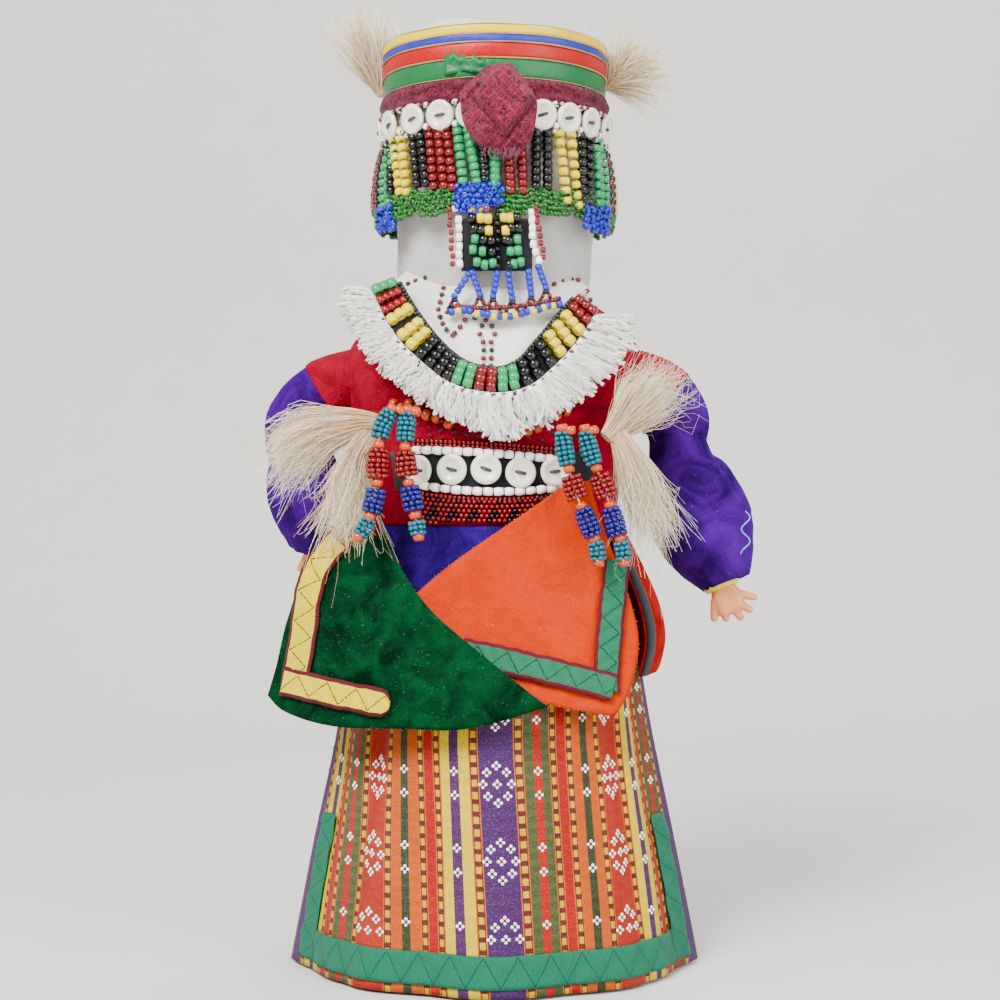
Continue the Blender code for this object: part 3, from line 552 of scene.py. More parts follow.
def satin(name, colour, rib_pitch, spread):
    """A shiny ribbon with fine ribs across its length."""
    result, tree, sockets, place = start_material(name, 0.38, Specular_IOR_Level=0.22, Sheen_Weight=0.03)
    across = new(tree, "ShaderNodeSeparateXYZ", {0: place["UV"]}).outputs[0]
    ribs = maths(tree, "SINE", maths(tree, "MULTIPLY", across, 2 * pi / (rib_pitch * MM)))
    grain = placed_group(tree, GRAIN, Vector=place["UV"], Scale=420.0, Color=tone(*colour), Spread=spread)
    shade = mixed(tree, stretched(tree, ribs, -1, 1, 0, 0.04), grain["Color"], (0, 0, 0, 1))
    tree.links.new(shade, sockets["Base Color"])
    tree.links.new(grain["Roughness"], sockets["Roughness"])
    bumped(tree, sockets, maths(tree, "MULTIPLY_ADD", ribs, 0.12, grain["Height"]), 0.12)
    return result


def painted(name, roughness, scale, spread, bump, **sockets_set):
    """Beads, hair, yarn and stitches: each takes the colour that it carries."""
    result, tree, sockets, place = start_material(name, roughness, **sockets_set)
    colour = new(tree, "ShaderNodeAttribute", attribute_name="tint").outputs["Color"]
    grain = placed_group(tree, GRAIN, Vector=place["Object"], Scale=scale, Color=colour, Spread=spread)
    tree.links.new(grain["Color"], sockets["Base Color"])
    bumped(tree, sockets, grain["Height"], bump)
    return result


def trim_material(name, ground, edge, figure, half_width, pitch, figure_width, edge_width):
    """A woven ribbon: a ground colour, dark edges and a zigzag along its middle; UV x runs across it."""
    result, tree, sockets, place = start_material(name, 0.6, Specular_IOR_Level=0.12, Sheen_Weight=0.03)
    parts = new(tree, "ShaderNodeSeparateXYZ", {0: place["UV"]}).outputs
    across = maths(tree, "ABSOLUTE", parts[0])
    wave = maths(tree, "SUBTRACT", maths(tree, "PINGPONG", parts[1], pitch / 2 * MM), pitch / 4 * MM)
    slope = 4 * (half_width - edge_width - 0.5) / pitch
    line = maths(tree, "ABSOLUTE", maths(tree, "MULTIPLY_ADD", wave, -slope, parts[0]))
    on_line = stretched(tree, line, figure_width * MM, figure_width * 0.6 * MM)
    at_edge = stretched(tree, across, (half_width - edge_width - 0.15) * MM, (half_width - edge_width) * MM)
    speck = noise(tree, place["UV"], 1500, 2)
    ground_shade = mixed(tree, stretched(tree, speck, 0.4, 0.75, 0, 0.6), tone(*ground),
                         tone(*[c * 0.8 for c in ground]))
    shade = mixed(tree, maths(tree, "MULTIPLY", on_line, stretched(tree, speck, 0.3, 0.5)), ground_shade,
                  tone(*figure))
    shade = mixed(tree, at_edge, shade, tone(*edge))
    tree.links.new(shade, sockets["Base Color"])
    ribs = maths(tree, "SINE", maths(tree, "MULTIPLY", parts[1], 2 * pi / (0.6 * MM)))
    height = maths(tree, "ADD", maths(tree, "MULTIPLY", ribs, 0.4), maths(tree, "ADD", on_line, speck))
    bumped(tree, sockets, height, 0.2)
    return result


def brocade_material():
    """Striped silk: the mesh carries each stripe's two colours; blocks, twill and wear are made here."""
    result, tree, sockets, place = start_material("striped_brocade", 0.5, Specular_IOR_Level=0.14,
                                                  Sheen_Weight=0.02,
                                                  Sheen_Roughness=0.4)
    parts = new(tree, "ShaderNodeSeparateXYZ", {0: place["UV"]}).outputs
    first = new(tree, "ShaderNodeAttribute", attribute_name="stripe").outputs["Color"]
    second = new(tree, "ShaderNodeAttribute", attribute_name="second_stripe").outputs["Color"]
    blocks = maths(tree, "FRACT", maths(tree, "DIVIDE", parts[1], 3.9 * MM))
    blocks = stretched(tree, maths(tree, "PINGPONG", blocks, 0.5), 0.2, 0.24)
    shade = mixed(tree, blocks, first, second)
    diagonal = maths(tree, "MULTIPLY_ADD", parts[0], 1.6, parts[1])
    twill = maths(tree, "SINE", maths(tree, "MULTIPLY", diagonal, 2 * pi / (1.25 * MM)))
    speck = noise(tree, place["UV"], 1400, 2, 0.6)
    wear = noise(tree, place["UV"], 55, 4, 0.6)
    shade = mixed(tree, stretched(tree, twill, 0.1, 0.9, 0, 0.42), shade, tone(90, 26, 14))
    shade = mixed(tree, stretched(tree, speck, 0.55, 0.75, 0, 0.16), shade, tone(250, 200, 150))
    shade = mixed(tree, stretched(tree, wear, 0.4, 0.75, 0, 0.22), shade, tone(70, 20, 20))
    tree.links.new(shade, sockets["Base Color"])
    height = maths(tree, "MULTIPLY_ADD", twill, 0.3,
                   maths(tree, "ADD", speck, maths(tree, "MULTIPLY", wear, 2.5)))
    bumped(tree, sockets, height, 0.22)
    return result


def veil_material():
    """Thin white cloth with creases running down."""
    result, tree, sockets, place = start_material("veil_cloth", 0.8, Sheen_Weight=0.2,
                                                  Specular_IOR_Level=0.3)
    stretched_place = new(tree, "ShaderNodeMapping",
                          {"Vector": place["Object"], "Scale": (1, 1, 0.35)}).outputs[0]
    creases = noise(tree, stretched_place, 110, 3, 0.55, 0.6)
    cloth = placed_group(tree, WEAVE, Vector=place["UV"], Pitch=0.5 * MM, Deep=tone(236, 232, 226),
                         Lit=tone(255, 252, 246))
    tree.links.new(cloth["Color"], sockets["Base Color"])
    bumped(tree, sockets, maths(tree, "MULTIPLY_ADD", creases, 6.0, cloth["Height"]), 0.8)
    return result


def pearl_material():
    """Shell buttons: milky, with faint warm and cool bands."""
    result, tree, sockets, place = start_material("pearl_shell", 0.25, Coat_Weight=0.6, Coat_Roughness=0.12,
                                                  Subsurface_Weight=0.12, Subsurface_Scale=0.002)
    bands = noise(tree, place["Object"], 180, 2, 0.5, 1.5)
    shade = mixed(tree, stretched(tree, bands, 0.35, 0.65), tone(240, 236, 214), tone(216, 214, 196))
    warm = noise(tree, place["Object"], 75, 2)
    shade = mixed(tree, stretched(tree, warm, 0.5, 0.75, 0, 0.6), shade, tone(226, 214, 186))
    tree.links.new(shade, sockets["Base Color"])
    bumped(tree, sockets, bands, 0.04)
    return result


def vinyl_material():
    """The hands: soft pinkish vinyl with a faint blush."""
    result, tree, sockets, place = start_material("doll_vinyl", 0.48, Subsurface_Weight=0.25,
                                                  Subsurface_Scale=0.004,
                                                  Subsurface_Radius=(1, 0.35, 0.2))
    grain = placed_group(tree, GRAIN, Vector=place["Object"], Scale=260.0, Color=tone(255, 164, 98),
                         Spread=0.3)
    blush = stretched(tree, noise(tree, place["Object"], 90, 2), 0.5, 0.75, 0, 0.35)
    tree.links.new(mixed(tree, blush, grain["Color"], tone(226, 112, 76)), sockets["Base Color"])
    bumped(tree, sockets, grain["Height"], 0.1)
    return result


BROCADE = brocade_material()
# Each velvet's deep and lit colours are its pile's painted shade and painted sheen
GREEN_VELVET = velvet("green_velvet_pile", (0, 32, 16), (4, 96, 48), (20, 190, 90), 90.0, 0.08)
ORANGE_VELVET = velvet("orange_velvet_pile", (240, 58, 0), (255, 76, 0), (255, 80, 0), 80.0, 0.02)
SCARLET_VELVET = velvet("scarlet_velvet_pile", (196, 0, 2), (250, 2, 6), (255, 30, 20), 110.0, 0.06)
CRIMSON_VELVET = velvet("crimson_velvet_pile", (168, 2, 40), (216, 8, 60), (255, 30, 80), 120.0, 0.08)
INDIGO_VELVET = velvet("indigo_velvet_pile", (38, 2, 104), (74, 12, 170), (90, 40, 255), 120.0, 0.1)
PURPLE_VELVET = velvet("purple_velvet_pile", (38, 0, 84), (112, 8, 196), (140, 40, 255), 62.0, 0.12)
VEIL = veil_material()
PEARL = pearl_material()
VINYL = vinyl_material()
# Crepe colours: deep is painted shade in the creases, lit is painted light on the ridges
BURGUNDY_CLOTH = crepe("burgundy_crepe", (72, 12, 32), (142, 34, 64))
KNOT_CLOTH = crepe("quilted_crepe", (84, 12, 36), (168, 40, 72), 3.4)
BLACK_CLOTH = woven("black_woven_cloth", (6, 6, 9), (38, 38, 46), 0.6, 0.3)
WHITE_CLOTH = woven("white_bib_cloth", (236, 233, 228), (255, 253, 248), 0.5, 0.3)
YELLOW_SATIN = satin("yellow_cuff_satin", (250, 228, 0), 0.7, 0.3)
GREEN_RIBBON = satin("green_hat_ribbon", (22, 132, 72), 0.8, 0.2)
RED_RIBBON = satin("red_hat_ribbon", (226, 0, 4), 0.6, 0.25)
BLUE_RIBBON = satin("blue_hat_ribbon", (40, 66, 205), 0.6, 0.3)
YELLOW_RIBBON = satin("yellow_hat_ribbon", (248, 216, 0), 0.6, 0.25)
GOLD_TRIM = trim_material("gold_woven_trim", (246, 220, 0), (110, 22, 40), (40, 24, 10), 4.6, 9.6, 0.3, 1.1)
TEAL_TRIM = trim_material("teal_woven_trim", (38, 142, 100), (120, 24, 46), (10, 46, 44), 4.4, 9.6, 0.26,
                          1.1)
BORDER_TRIM = trim_material("teal_apron_border", (28, 142, 104), (14, 100, 76), (14, 50, 92), 5.4, 11.0,
                            0.26, 0.2)
GLASS = painted("glass_bead", 0.16, scale=900.0, spread=0.25, bump=0.01, Coat_Weight=0.25,
                Coat_Roughness=0.06,
                Specular_IOR_Level=0.4)
HAIR = painted("goat_hair_strand", 0.45, scale=500.0, spread=0.8, bump=0.02, Specular_IOR_Level=0.5,
               Sheen_Weight=0.2)
YARN = painted("white_yarn_strand", 0.9, scale=1800.0, spread=0.35, bump=0.15, Sheen_Weight=0.4)
THREAD = painted("embroidery_thread", 0.5, scale=2500.0, spread=0.6, bump=0.1, Sheen_Weight=0.2)


def add_input(tree, name, kind, value=None):
    socket = tree.interface.new_socket(name, in_out="INPUT", socket_type="NodeSocket" + kind)
    if value is not None:
        socket.default_value = value
    return socket


def attribute(tree, name, kind):
    return new(tree, "GeometryNodeInputNamedAttribute", {"Name": name}, data_type=kind).outputs["Attribute"]


def start_growth(name, *inputs):
    """A growth tree with a base mesh, its named inputs and a material."""
    tree = bpy.data.node_groups.new(name, "GeometryNodeTree")
    add_input(tree, "Base", "Geometry")
    for key, kind, value in inputs:
        add_input(tree, key, kind, value)
    add_input(tree, "Material", "Material")
    tree.interface.new_socket("Result", in_out="OUTPUT", socket_type="NodeSocketGeometry")
    return tree, new(tree, "NodeGroupInput").outputs


def end_growth(tree, given, geometry):
    """Shade smooth, make the copies real and give them their material."""
    smooth = new(tree, "GeometryNodeSetShadeSmooth", {"Geometry": geometry}).outputs[0]
    real = new(tree, "GeometryNodeRealizeInstances", {"Geometry": smooth}).outputs[0]
    finished = new(tree, "GeometryNodeSetMaterial",
                   {"Geometry": real, "Material": given["Material"]}).outputs[0]
    new(tree, "NodeGroupOutput", {"Result": finished})
    return tree


def ring_bead(tree, path_sides, profile_sides):
    """A drilled bead 1 across and about 1 long, its hole along Z."""
    path = new(tree, "GeometryNodeCurvePrimitiveCircle",
               {"Resolution": path_sides, "Radius": 0.32}).outputs["Curve"]
    round_profile = new(tree, "GeometryNodeCurvePrimitiveCircle",
                        {"Resolution": profile_sides, "Radius": 1.0})
    profile = new(tree, "GeometryNodeTransform", {"Geometry": round_profile.outputs["Curve"],
                                                  "Scale": (0.18, 0.5, 1)})
    return new(tree, "GeometryNodeCurveToMesh", {"Curve": path,
                                                 "Profile Curve": profile.outputs[0]}).outputs[0]


def scatter_tree(name, unit):
    """One unit on every point, turned and sized by the point's own turn and size, with a seeded spread."""
    tree, given = start_growth(name, ("Spread", "Float", 0.05), ("Wobble", "Float", 0.08),
                               ("Seed", "Int", 1))
    piece = unit(tree)
    spread = given["Spread"]
    sizes = new(tree, "FunctionNodeRandomValue", {0: maths_vector(tree, spread, -1),
                                                  1: maths_vector(tree, spread, 1),
                                                  "Seed": given["Seed"]},
                                                  data_type="FLOAT_VECTOR").outputs[0]
    size = new(tree, "ShaderNodeVectorMath", {0: attribute(tree, "size", "FLOAT_VECTOR"), 1: sizes},
               operation="MULTIPLY").outputs[0]
    wobble = new(tree, "FunctionNodeRandomValue", {0: (-1, -1, -1), 1: (1, 1, 1), "Seed": given["Seed"]},
                 data_type="FLOAT_VECTOR").outputs[0]
    wobble = new(tree, "ShaderNodeVectorMath", {0: wobble, "Scale": given["Wobble"]},
                 operation="SCALE").outputs[0]
    turn = new(tree, "ShaderNodeVectorMath", {0: attribute(tree, "turn", "FLOAT_VECTOR"), 1: wobble},
               operation="ADD").outputs[0]
    rotation = new(tree, "FunctionNodeEulerToRotation", {0: turn}).outputs[0]
    beads = new(tree, "GeometryNodeInstanceOnPoints", {"Points": given["Base"], "Instance": piece,
                                                       "Rotation": rotation, "Scale": size}).outputs[0]
    return end_growth(tree, given, beads)


def maths_vector(tree, value, sign):
    return new(tree, "ShaderNodeMath", {0: value, 1: sign, 2: 1.0}, operation="MULTIPLY_ADD").outputs[0]


def strand_tree(name):
    """A round strand along every run of edges, as wide as the points' own width."""
    tree, given = start_growth(name, ("Sides", "Int", 4))
    curves = new(tree, "GeometryNodeMeshToCurve", {"Mesh": given["Base"]}).outputs[0]
    profile = new(tree, "GeometryNodeCurvePrimitiveCircle", {"Resolution": given["Sides"], "Radius": 1.0})
    tubes = new(tree, "GeometryNodeCurveToMesh", {"Curve": curves, "Profile Curve": profile.outputs["Curve"],
                                                  "Scale": attribute(tree, "width", "FLOAT"),
                                                  "Fill Caps": True})
    return end_growth(tree, given, tubes.outputs[0])


def stitch_unit(tree):
    return new(tree, "GeometryNodeMeshUVSphere", {"Segments": 6, "Rings": 4, "Radius": 0.5}).outputs["Mesh"]


BEADS = scatter_tree("strung_beads", lambda tree: ring_bead(tree, 9, 6))
SEEDS = scatter_tree("seed_beads", lambda tree: ring_bead(tree, 7, 5))
STITCHES = scatter_tree("raised_stitches", stitch_unit)
STRANDS = strand_tree("laid_strands")


def grown(name, tree, mesh, **inputs):
    """The plain mesh that a growth tree makes from a base mesh."""
    holder = bpy.data.objects.new(name + "_base", mesh)
    bpy.context.scene.collection.objects.link(holder)
    modifier = holder.modifiers.new("growth", "NODES")
    modifier.node_group = tree
    for item in tree.interface.items_tree:
        if item.item_type == "SOCKET" and item.in_out == "INPUT" and item.name in inputs:
            modifier[item.identifier] = inputs[item.name]
    graph = bpy.context.evaluated_depsgraph_get()
    result = bpy.data.meshes.new_from_object(holder.evaluated_get(graph), preserve_all_data_layers=True,
                                             depsgraph=graph)
    bpy.data.objects.remove(holder)
    bpy.data.meshes.remove(mesh)
    result.name = name
    return result


def beads_base(name, rows):
    """Points that carry a turn, a size and a tint; each row is place, axis, width, length and tint."""
    mesh = bpy.data.meshes.new(name)
    mesh.from_pydata([tuple(row[0] * MM) for row in rows], [], [])
    turns, sizes, tints = [], [], []
    for _, axis, width, length, tint in rows:
        if isinstance(axis, Vector):
            turns.extend(axis.to_track_quat("Z", "Y").to_euler())
        else:
            turns.extend(axis.to_euler())
        sizes.extend((width[0] * MM, width[1] * MM, length * MM) if isinstance(width, tuple)
                     else (width * MM, width * MM, length * MM))
        tints.extend(tint)
    mesh.attributes.new("turn", "FLOAT_VECTOR", "POINT").data.foreach_set("vector", turns)
    mesh.attributes.new("size", "FLOAT_VECTOR", "POINT").data.foreach_set("vector", sizes)
    mesh.attributes.new("tint", "FLOAT_COLOR", "POINT").data.foreach_set("color", tints)
    return mesh


def strands_base(name, runs):
    """Edges that carry a width and a tint; each run is its points, its radii and its tint or tints."""
    points, edges, widths, tints = [], [], [], []
    for path, radii, tint in runs:
        start = len(points)
        for i, point in enumerate(path):
            points.append(tuple(point * MM))
            widths.append((radii[i] if isinstance(radii, (list, tuple)) else radii) * MM)
            tints.extend(tint[i] if isinstance(tint, list) else tint)
            if i:
                edges.append((start + i - 1, start + i))
    mesh = bpy.data.meshes.new(name)
    mesh.from_pydata(points, edges, [])
    mesh.attributes.new("width", "FLOAT", "POINT").data.foreach_set("value", widths)
    mesh.attributes.new("tint", "FLOAT_COLOR", "POINT").data.foreach_set("color", tints)
    return mesh


def beads_mesh(name, rows, tree=BEADS, spread=0.06, wobble=0.1, seed=1, material=GLASS):
    return grown(name, tree, beads_base(name, rows), Spread=spread, Wobble=wobble, Seed=seed,
                 Material=material)


def strands_mesh(name, runs, sides=4, material=YARN):
    return grown(name, STRANDS, strands_base(name, runs), Sides=sides, Material=material)


def joined(name, *meshes):
    """One mesh from several, each keeping its own material."""
    holders = []
    for i, mesh in enumerate(meshes):
        holder = bpy.data.objects.new(f"{name}_{i}", mesh)
        bpy.context.scene.collection.objects.link(holder)
        holders.append(holder)
    with bpy.context.temp_override(active_object=holders[0], selected_editable_objects=holders,
                                   object=holders[0]):
        bpy.ops.object.join()
    mesh = holders[0].data
    bpy.data.objects.remove(holders[0])
    mesh.name = name
    return mesh


def clad(mesh, material):
    mesh.materials.append(material)
    return mesh


def add_joined(name, parts, slot, *nodes):
    """A piece of several meshes, each in its own material."""
    return add_piece(name, joined(name, *parts), None, slot, *nodes)


def lay_uv(mesh, count, place):
    """Coordinates for both layers of a shell: place gives them, in millimetres, for a point's number."""
    for loop in mesh.loops:
        x, y = place(loop.vertex_index % count)
        mesh.uv_layers[0].data[loop.index].uv = (x * MM, y * MM)


# Stripes of the brocade from one wide stripe to the next, as kind and width
PURPLE_TO_RED = (("cord", 3.4), ("olive", 3.2), ("red_flower", 3.0), ("olive", 3.0), ("cord", 3.0),
                 ("red", 3.1),
                 ("cord", 2.9), ("orange", 3.0), ("green_flower", 2.9), ("orange", 3.0), ("cord", 3.0),
                 ("red_wide", 11.2))
PURPLE_TO_RED_LEFT = (("cord", 3.2), ("yellow", 3.6), ("purple_flower", 3.4), ("yellow", 3.3), ("cord", 2.8),
                      ("red", 3.0), ("cord", 2.8), ("orange", 3.6), ("green_flower", 2.8), ("orange", 3.4),
                      ("cord", 3.2), ("red_wide", 11.2))
RED_TO_PURPLE = (("cord", 3.0), ("yellow", 3.4), ("purple_flower", 3.0), ("yellow", 3.4), ("cord", 3.0),
                 ("red", 3.0), ("cord", 3.0), ("olive", 3.0), ("red_flower", 3.0), ("olive", 3.0),
                 ("cord", 3.0),
                 ("purple_wide", 11.2))
RED_TO_PURPLE_LEFT = (("cord", 3.0), ("olive", 3.0), ("red_flower", 3.0), ("olive", 3.0), ("cord", 3.0),
                      ("red", 3.0), ("cord", 3.0), ("yellow", 3.4), ("purple_flower", 3.0), ("yellow", 3.4),
                      ("cord", 3.0), ("purple_wide", 11.2))
STRIPE_COLOURS = {
    "cord": (tone(112, 42, 44), tone(255, 196, 8)),
    "cord_dark": (tone(84, 22, 16), tone(110, 34, 16)),
    "cord_edge": (tone(250, 112, 20), tone(255, 128, 24)),
    "yellow": (tone(246, 220, 0), tone(250, 212, 0)),
    "red": (tone(236, 18, 8), tone(224, 14, 8)),
    "olive": (tone(76, 96, 52), tone(66, 86, 46)),
    "orange": (tone(255, 112, 0), tone(250, 104, 0)),
    "red_flower": (tone(240, 36, 14), tone(230, 30, 12)),
    "green_flower": (tone(44, 72, 40), tone(38, 64, 36)),
    "purple_flower": (tone(88, 46, 108), tone(80, 40, 100)),
    "red_wide": (tone(232, 50, 20), tone(226, 44, 18)),
    "purple_wide": (tone(82, 42, 116), tone(76, 38, 110)),
}
PURPLE_CENTRE = 0.4
WIDE_HALF = 5.6
CORD_EDGE = 0.42
CORD_DARK = 0.3
APRON_REACH = 92.3
SKIRT_REACH = HEM_RADIUS * pi
TILT_SHIFT = 4.4
TILT_HEIGHT = 80.0
MEDALLION_PITCH = 24.2
MEDALLION_START = 19.5
# Angle and depth of each valley between the apron's folds
FOLD_VALLEYS = ((-0.75, 2.6), (0.77, 2.6), (0.36, 0.9), (-0.3, 0.8), (1.06, 1.0), (-1.08, 1.0))
MEDALLION = ((0, 0), (3.1, 3.8), (-3.1, 3.8), (3.1, -3.8), (-3.1, -3.8), (4.5, 0), (-4.5, 0), (0, 5.9),
             (0, -5.9))


def stripe_layout(reach):
    """Stripes from left to right as left edge, right edge and kind, out to reach on both sides."""
    rows = [(PURPLE_CENTRE - WIDE_HALF, PURPLE_CENTRE + WIDE_HALF, "purple_wide")]
    for side, runs in ((1, (PURPLE_TO_RED, RED_TO_PURPLE)), (-1, (PURPLE_TO_RED_LEFT, RED_TO_PURPLE_LEFT))):
        place = PURPLE_CENTRE + side * WIDE_HALF
        turn = 0
        while abs(place) < reach:
            for kind, width in runs[turn % 2]:
                edge = max(min(place + side * width, reach), -reach)
                if abs(place) < reach:
                    rows.append((min(place, edge), max(place, edge), kind))
                place += side * width
            turn += 1
    return [part for row in sorted(rows) for part in cord_parts(*row)]


def cord_parts(left, right, kind):
    """A cord is a column of blocks with a thin dark and a thin orange line on each side."""
    if kind != "cord" or right - left < 2.4:
        return [(left, right, kind)]
    edge, dark = left + CORD_EDGE, left + CORD_EDGE + CORD_DARK
    far_edge, far_dark = right - CORD_EDGE, right - CORD_EDGE - CORD_DARK
    return [(left, edge, "cord_edge"), (edge, dark, "cord_dark"), (dark, far_dark, "cord"),
            (far_dark, far_edge, "cord_dark"), (far_edge, right, "cord_edge")]


def apron_angle(s, z):
    """Where a stripe at s from the middle of the flat apron lies round the skirt at a height."""
    radius = smooth_value(SKIRT_PROFILE, z / SKIRT_HEIGHT)
    t = s / APRON_REACH
    squeeze = 1 - radius * APRON_HALF_ANGLE / APRON_REACH
    arc = APRON_REACH * t * (1 - squeeze * abs(t) ** 1.2)
    shift = TILT_SHIFT * max(1 - z / TILT_HEIGHT, 0) * max(1 - t * t, 0)
    return (arc + shift) / radius


def apron_out(angle, z):
    drop = sum(depth * bell((angle - place) / 0.075) for place, depth in FOLD_VALLEYS)
    return 2.1 - drop * min(0.45 + z / 90, 1.0) + 0.35 * ripple(angle * 7, z / 13)


def apron_point(s, z, out=0.0):
    angle = apron_angle(s, z)
    return skirt_point(angle, z, apron_out(angle, z) + out)


def apron_normal(s, z):
    east = apron_point(s + 0.6, z) - apron_point(s - 0.6, z)
    north = apron_point(s, z + 0.8) - apron_point(s, z - 0.8)
    return east.cross(north).normalized()


def cell_edges(layout, widest):
    """Column places at every stripe edge, with wide stripes cut finer, and each column's kind."""
    places, kinds = [layout[0][0]], []
    for left, right, kind in layout:
        cuts = max(ceil((right - left) / widest), 1)
        for i in range(cuts):
            places.append(left + (right - left) * (i + 1) / cuts)
            kinds.append(kind)
    return places, kinds


def paint_stripes(mesh, kinds, columns):
    """Give each face's corners the colours of the stripe that its column lies in."""
    first = mesh.attributes.new("stripe", "FLOAT_COLOR", "CORNER")
    second = mesh.attributes.new("second_stripe", "FLOAT_COLOR", "CORNER")
    for face in mesh.polygons:
        places = [vertex % columns for vertex in face.vertices]
        column = min(max(places) if max(places) - min(places) > 1 else min(places), len(kinds) - 1)
        for loop in face.loop_indices:
            first.data[loop].color, second.data[loop].color = STRIPE_COLOURS[kinds[column]]


def flower(rows, point, normal, up, size, petal, centre):
    """One embroidered flower: four raised lobes round a dark middle."""
    side = up.cross(normal).normalized()
    for turn in (0, 0.5, 1, 1.5):
        way = side * cos(turn * pi) + up * sin(turn * pi)
        rows.append((point + way * size * 0.34 + normal * 0.08, normal, size * 0.43, 0.7, petal))
    rows.append((point + normal * 0.05, normal, size * 0.24, 0.5, centre))


def brocade_flowers(layout, place, normal_of, heights, top):
    rows = []
    up = Vector((0, 0, 1))
    white = tone(255, 250, 240)
    for left, right, kind in layout:
        if right - left < 2.2:
            continue
        middle = (left + right) / 2
        dark = tone(70, 22, 20) if "purple" not in kind else tone(40, 16, 60)
        for z in heights:
            if kind.endswith("wide"):
                for ds, dz in MEDALLION:
                    if 1.5 < z + dz < top:
                        point, normal = place(middle + ds, z + dz), normal_of(middle + ds, z + dz)
                        flower(rows, point, normal, up, 2.9, white, dark)
            elif kind.endswith("flower"):
                for dz in (-3.8, 3.8):
                    if 1.5 < z + dz < top:
                        flower(rows, place(middle, z + dz), normal_of(middle, z + dz), up, 2.9, white, dark)
    return rows


def skirt_rows():
    return [0.0, 0.8, 2.4] + [2.4 + (SKIRT_HEIGHT - 2.4) * (i + 1) / 44 for i in range(44)]


def skirt_out(angle, z):
    hidden = abs(angle) < APRON_HALF_ANGLE - 0.05
    hem = -1.0 if z < 0.1 else (-0.3 if z < 1 else 0)
    back_folds = 0.9 * (1 - z / SKIRT_HEIGHT) * ripple(angle * 5, z / 40)
    return hem + (-5.5 if hidden else back_folds)


def make_skirt():
    layout = stripe_layout(SKIRT_REACH)
    places, kinds = cell_edges(layout, 4.2)
    places = places[:-1]
    count = len(places)
    heights = skirt_rows()
    points = []
    for z in heights:
        for s in places:
            angle = apron_angle(s, z) if abs(s) <= APRON_REACH else s / HEM_RADIUS
            points.append(skirt_point(angle, z, skirt_out(angle, z)))
    uv = [(s * MM, z * MM) for z in heights for s in places]
    faces = []
    for r in range(len(heights) - 1):
        for c in range(count):
            d = (c + 1) % count
            faces.append((r * count + c, r * count + d, (r + 1) * count + d, (r + 1) * count + c))
    for r, last in ((0, False), (len(heights) - 1, True)):
        middle = len(points)
        points.append(Vector((0, 0, heights[r])))
        uv.append((0, heights[r] * MM))
        for c in range(count):
            a, b = r * count + c, r * count + (c + 1) % count
            faces.append((a, b, middle) if last else (b, a, middle))
    mesh = clad(mesh_of("skirt", points, faces, uv), BROCADE)
    paint_stripes(mesh, kinds, count)

    def side(s, z):
        return skirt_point(s / HEM_RADIUS, z, skirt_out(s / HEM_RADIUS, z))

    def side_normal(s, z):
        return Vector((sin(s / HEM_RADIUS), -cos(s / HEM_RADIUS), 0.17)).normalized()

    outer = [row for row in layout if abs(row[0] + row[1]) / 2 > APRON_REACH + 3]
    heights = [MEDALLION_START + MEDALLION_PITCH * k for k in range(5)]
    stitches = beads_mesh("skirt_stitches", brocade_flowers(outer, side, side_normal, heights, 122),
                          STITCHES,
                          material=THREAD)
    add_joined("skirt_cloth", [mesh, stitches], "brocade", "skirt")


def make_apron():
    layout = stripe_layout(APRON_REACH)
    places, kinds = cell_edges(layout, 1.9)
    count, columns = 58, len(places)
    heights = [APRON_HEM + (APRON_TOP - APRON_HEM) * r / (count - 1) for r in range(count)]
    mesh = shell("apron", grid_of(count, columns, lambda r, c: apron_point(places[c], heights[r])), 1.2)
    lay_uv(mesh, columns * count, lambda vertex: (places[vertex % columns], heights[vertex // columns]))
    paint_stripes(mesh, kinds, columns)
    inner = [row for row in layout if abs(row[0] + row[1]) / 2 < APRON_REACH - 14]
    middles = [MEDALLION_START + MEDALLION_PITCH * k for k in range(5)]
    stitches = brocade_flowers(inner, apron_point, apron_normal, [z for z in middles if z > 50],
                               APRON_TOP - 4)
    for row in brocade_flowers(inner, apron_point, apron_normal, [z for z in middles if z < 50],
                               APRON_TOP - 4):
        if row[0].z > 17 and abs(row[0].x) < 54:
            stitches.append(row)
    flowers = beads_mesh("apron_stitches", stitches, STITCHES, material=THREAD)
    return add_joined("apron_cloth", [clad(mesh, BROCADE), flowers], "brocade", "apron")


def border_point(s, z, out=0.0):
    angle = s / HEM_RADIUS if z < 60 else 0
    pucker = 0.5 * sin(s * 0.57 + z * 0.5) + 0.4 * sin(s * 0.57 - z * 0.6)
    return skirt_point(angle, z, apron_out(angle, z) + 1.1 + 0.4 * pucker + out)


def border_strip(name, across_from, across_to, up_from, up_to, upright):
    """One straight run of the border, from two side distances and two heights."""
    across, tall = across_to - across_from, up_to - up_from
    columns, rows = max(int(across / 1.5), 8), max(int(tall / 1.5), 8)
    grid = grid_of(rows + 1, columns + 1,
                   lambda r, c: border_point(across_from + across * c / columns, up_from + tall * r / rows))
    mesh = shell(name, grid, 0.7, rim=0.35)

    def flat(vertex):
        s, z = (vertex % (columns + 1)) / columns * across, (vertex // (columns + 1)) / rows * tall
        return (s - across / 2, z) if upright else (z - tall / 2, s)

    lay_uv(mesh, (columns + 1) * (rows + 1), flat)
    return clad(mesh, BORDER_TRIM)


def make_apron_border():
    outer = APRON_REACH - 7
    inner = outer - 10.5
    low, side_top, strip_top = 4.2, 53, 14.7
    parts = [border_strip("left", -outer, -inner, low, side_top, True),
             border_strip("right", inner, outer, low, side_top, True),
             border_strip("low", -inner, inner, low, strip_top, False)]
    return add_joined("apron_border_trim", parts, "teal_ribbon", "apron_border")


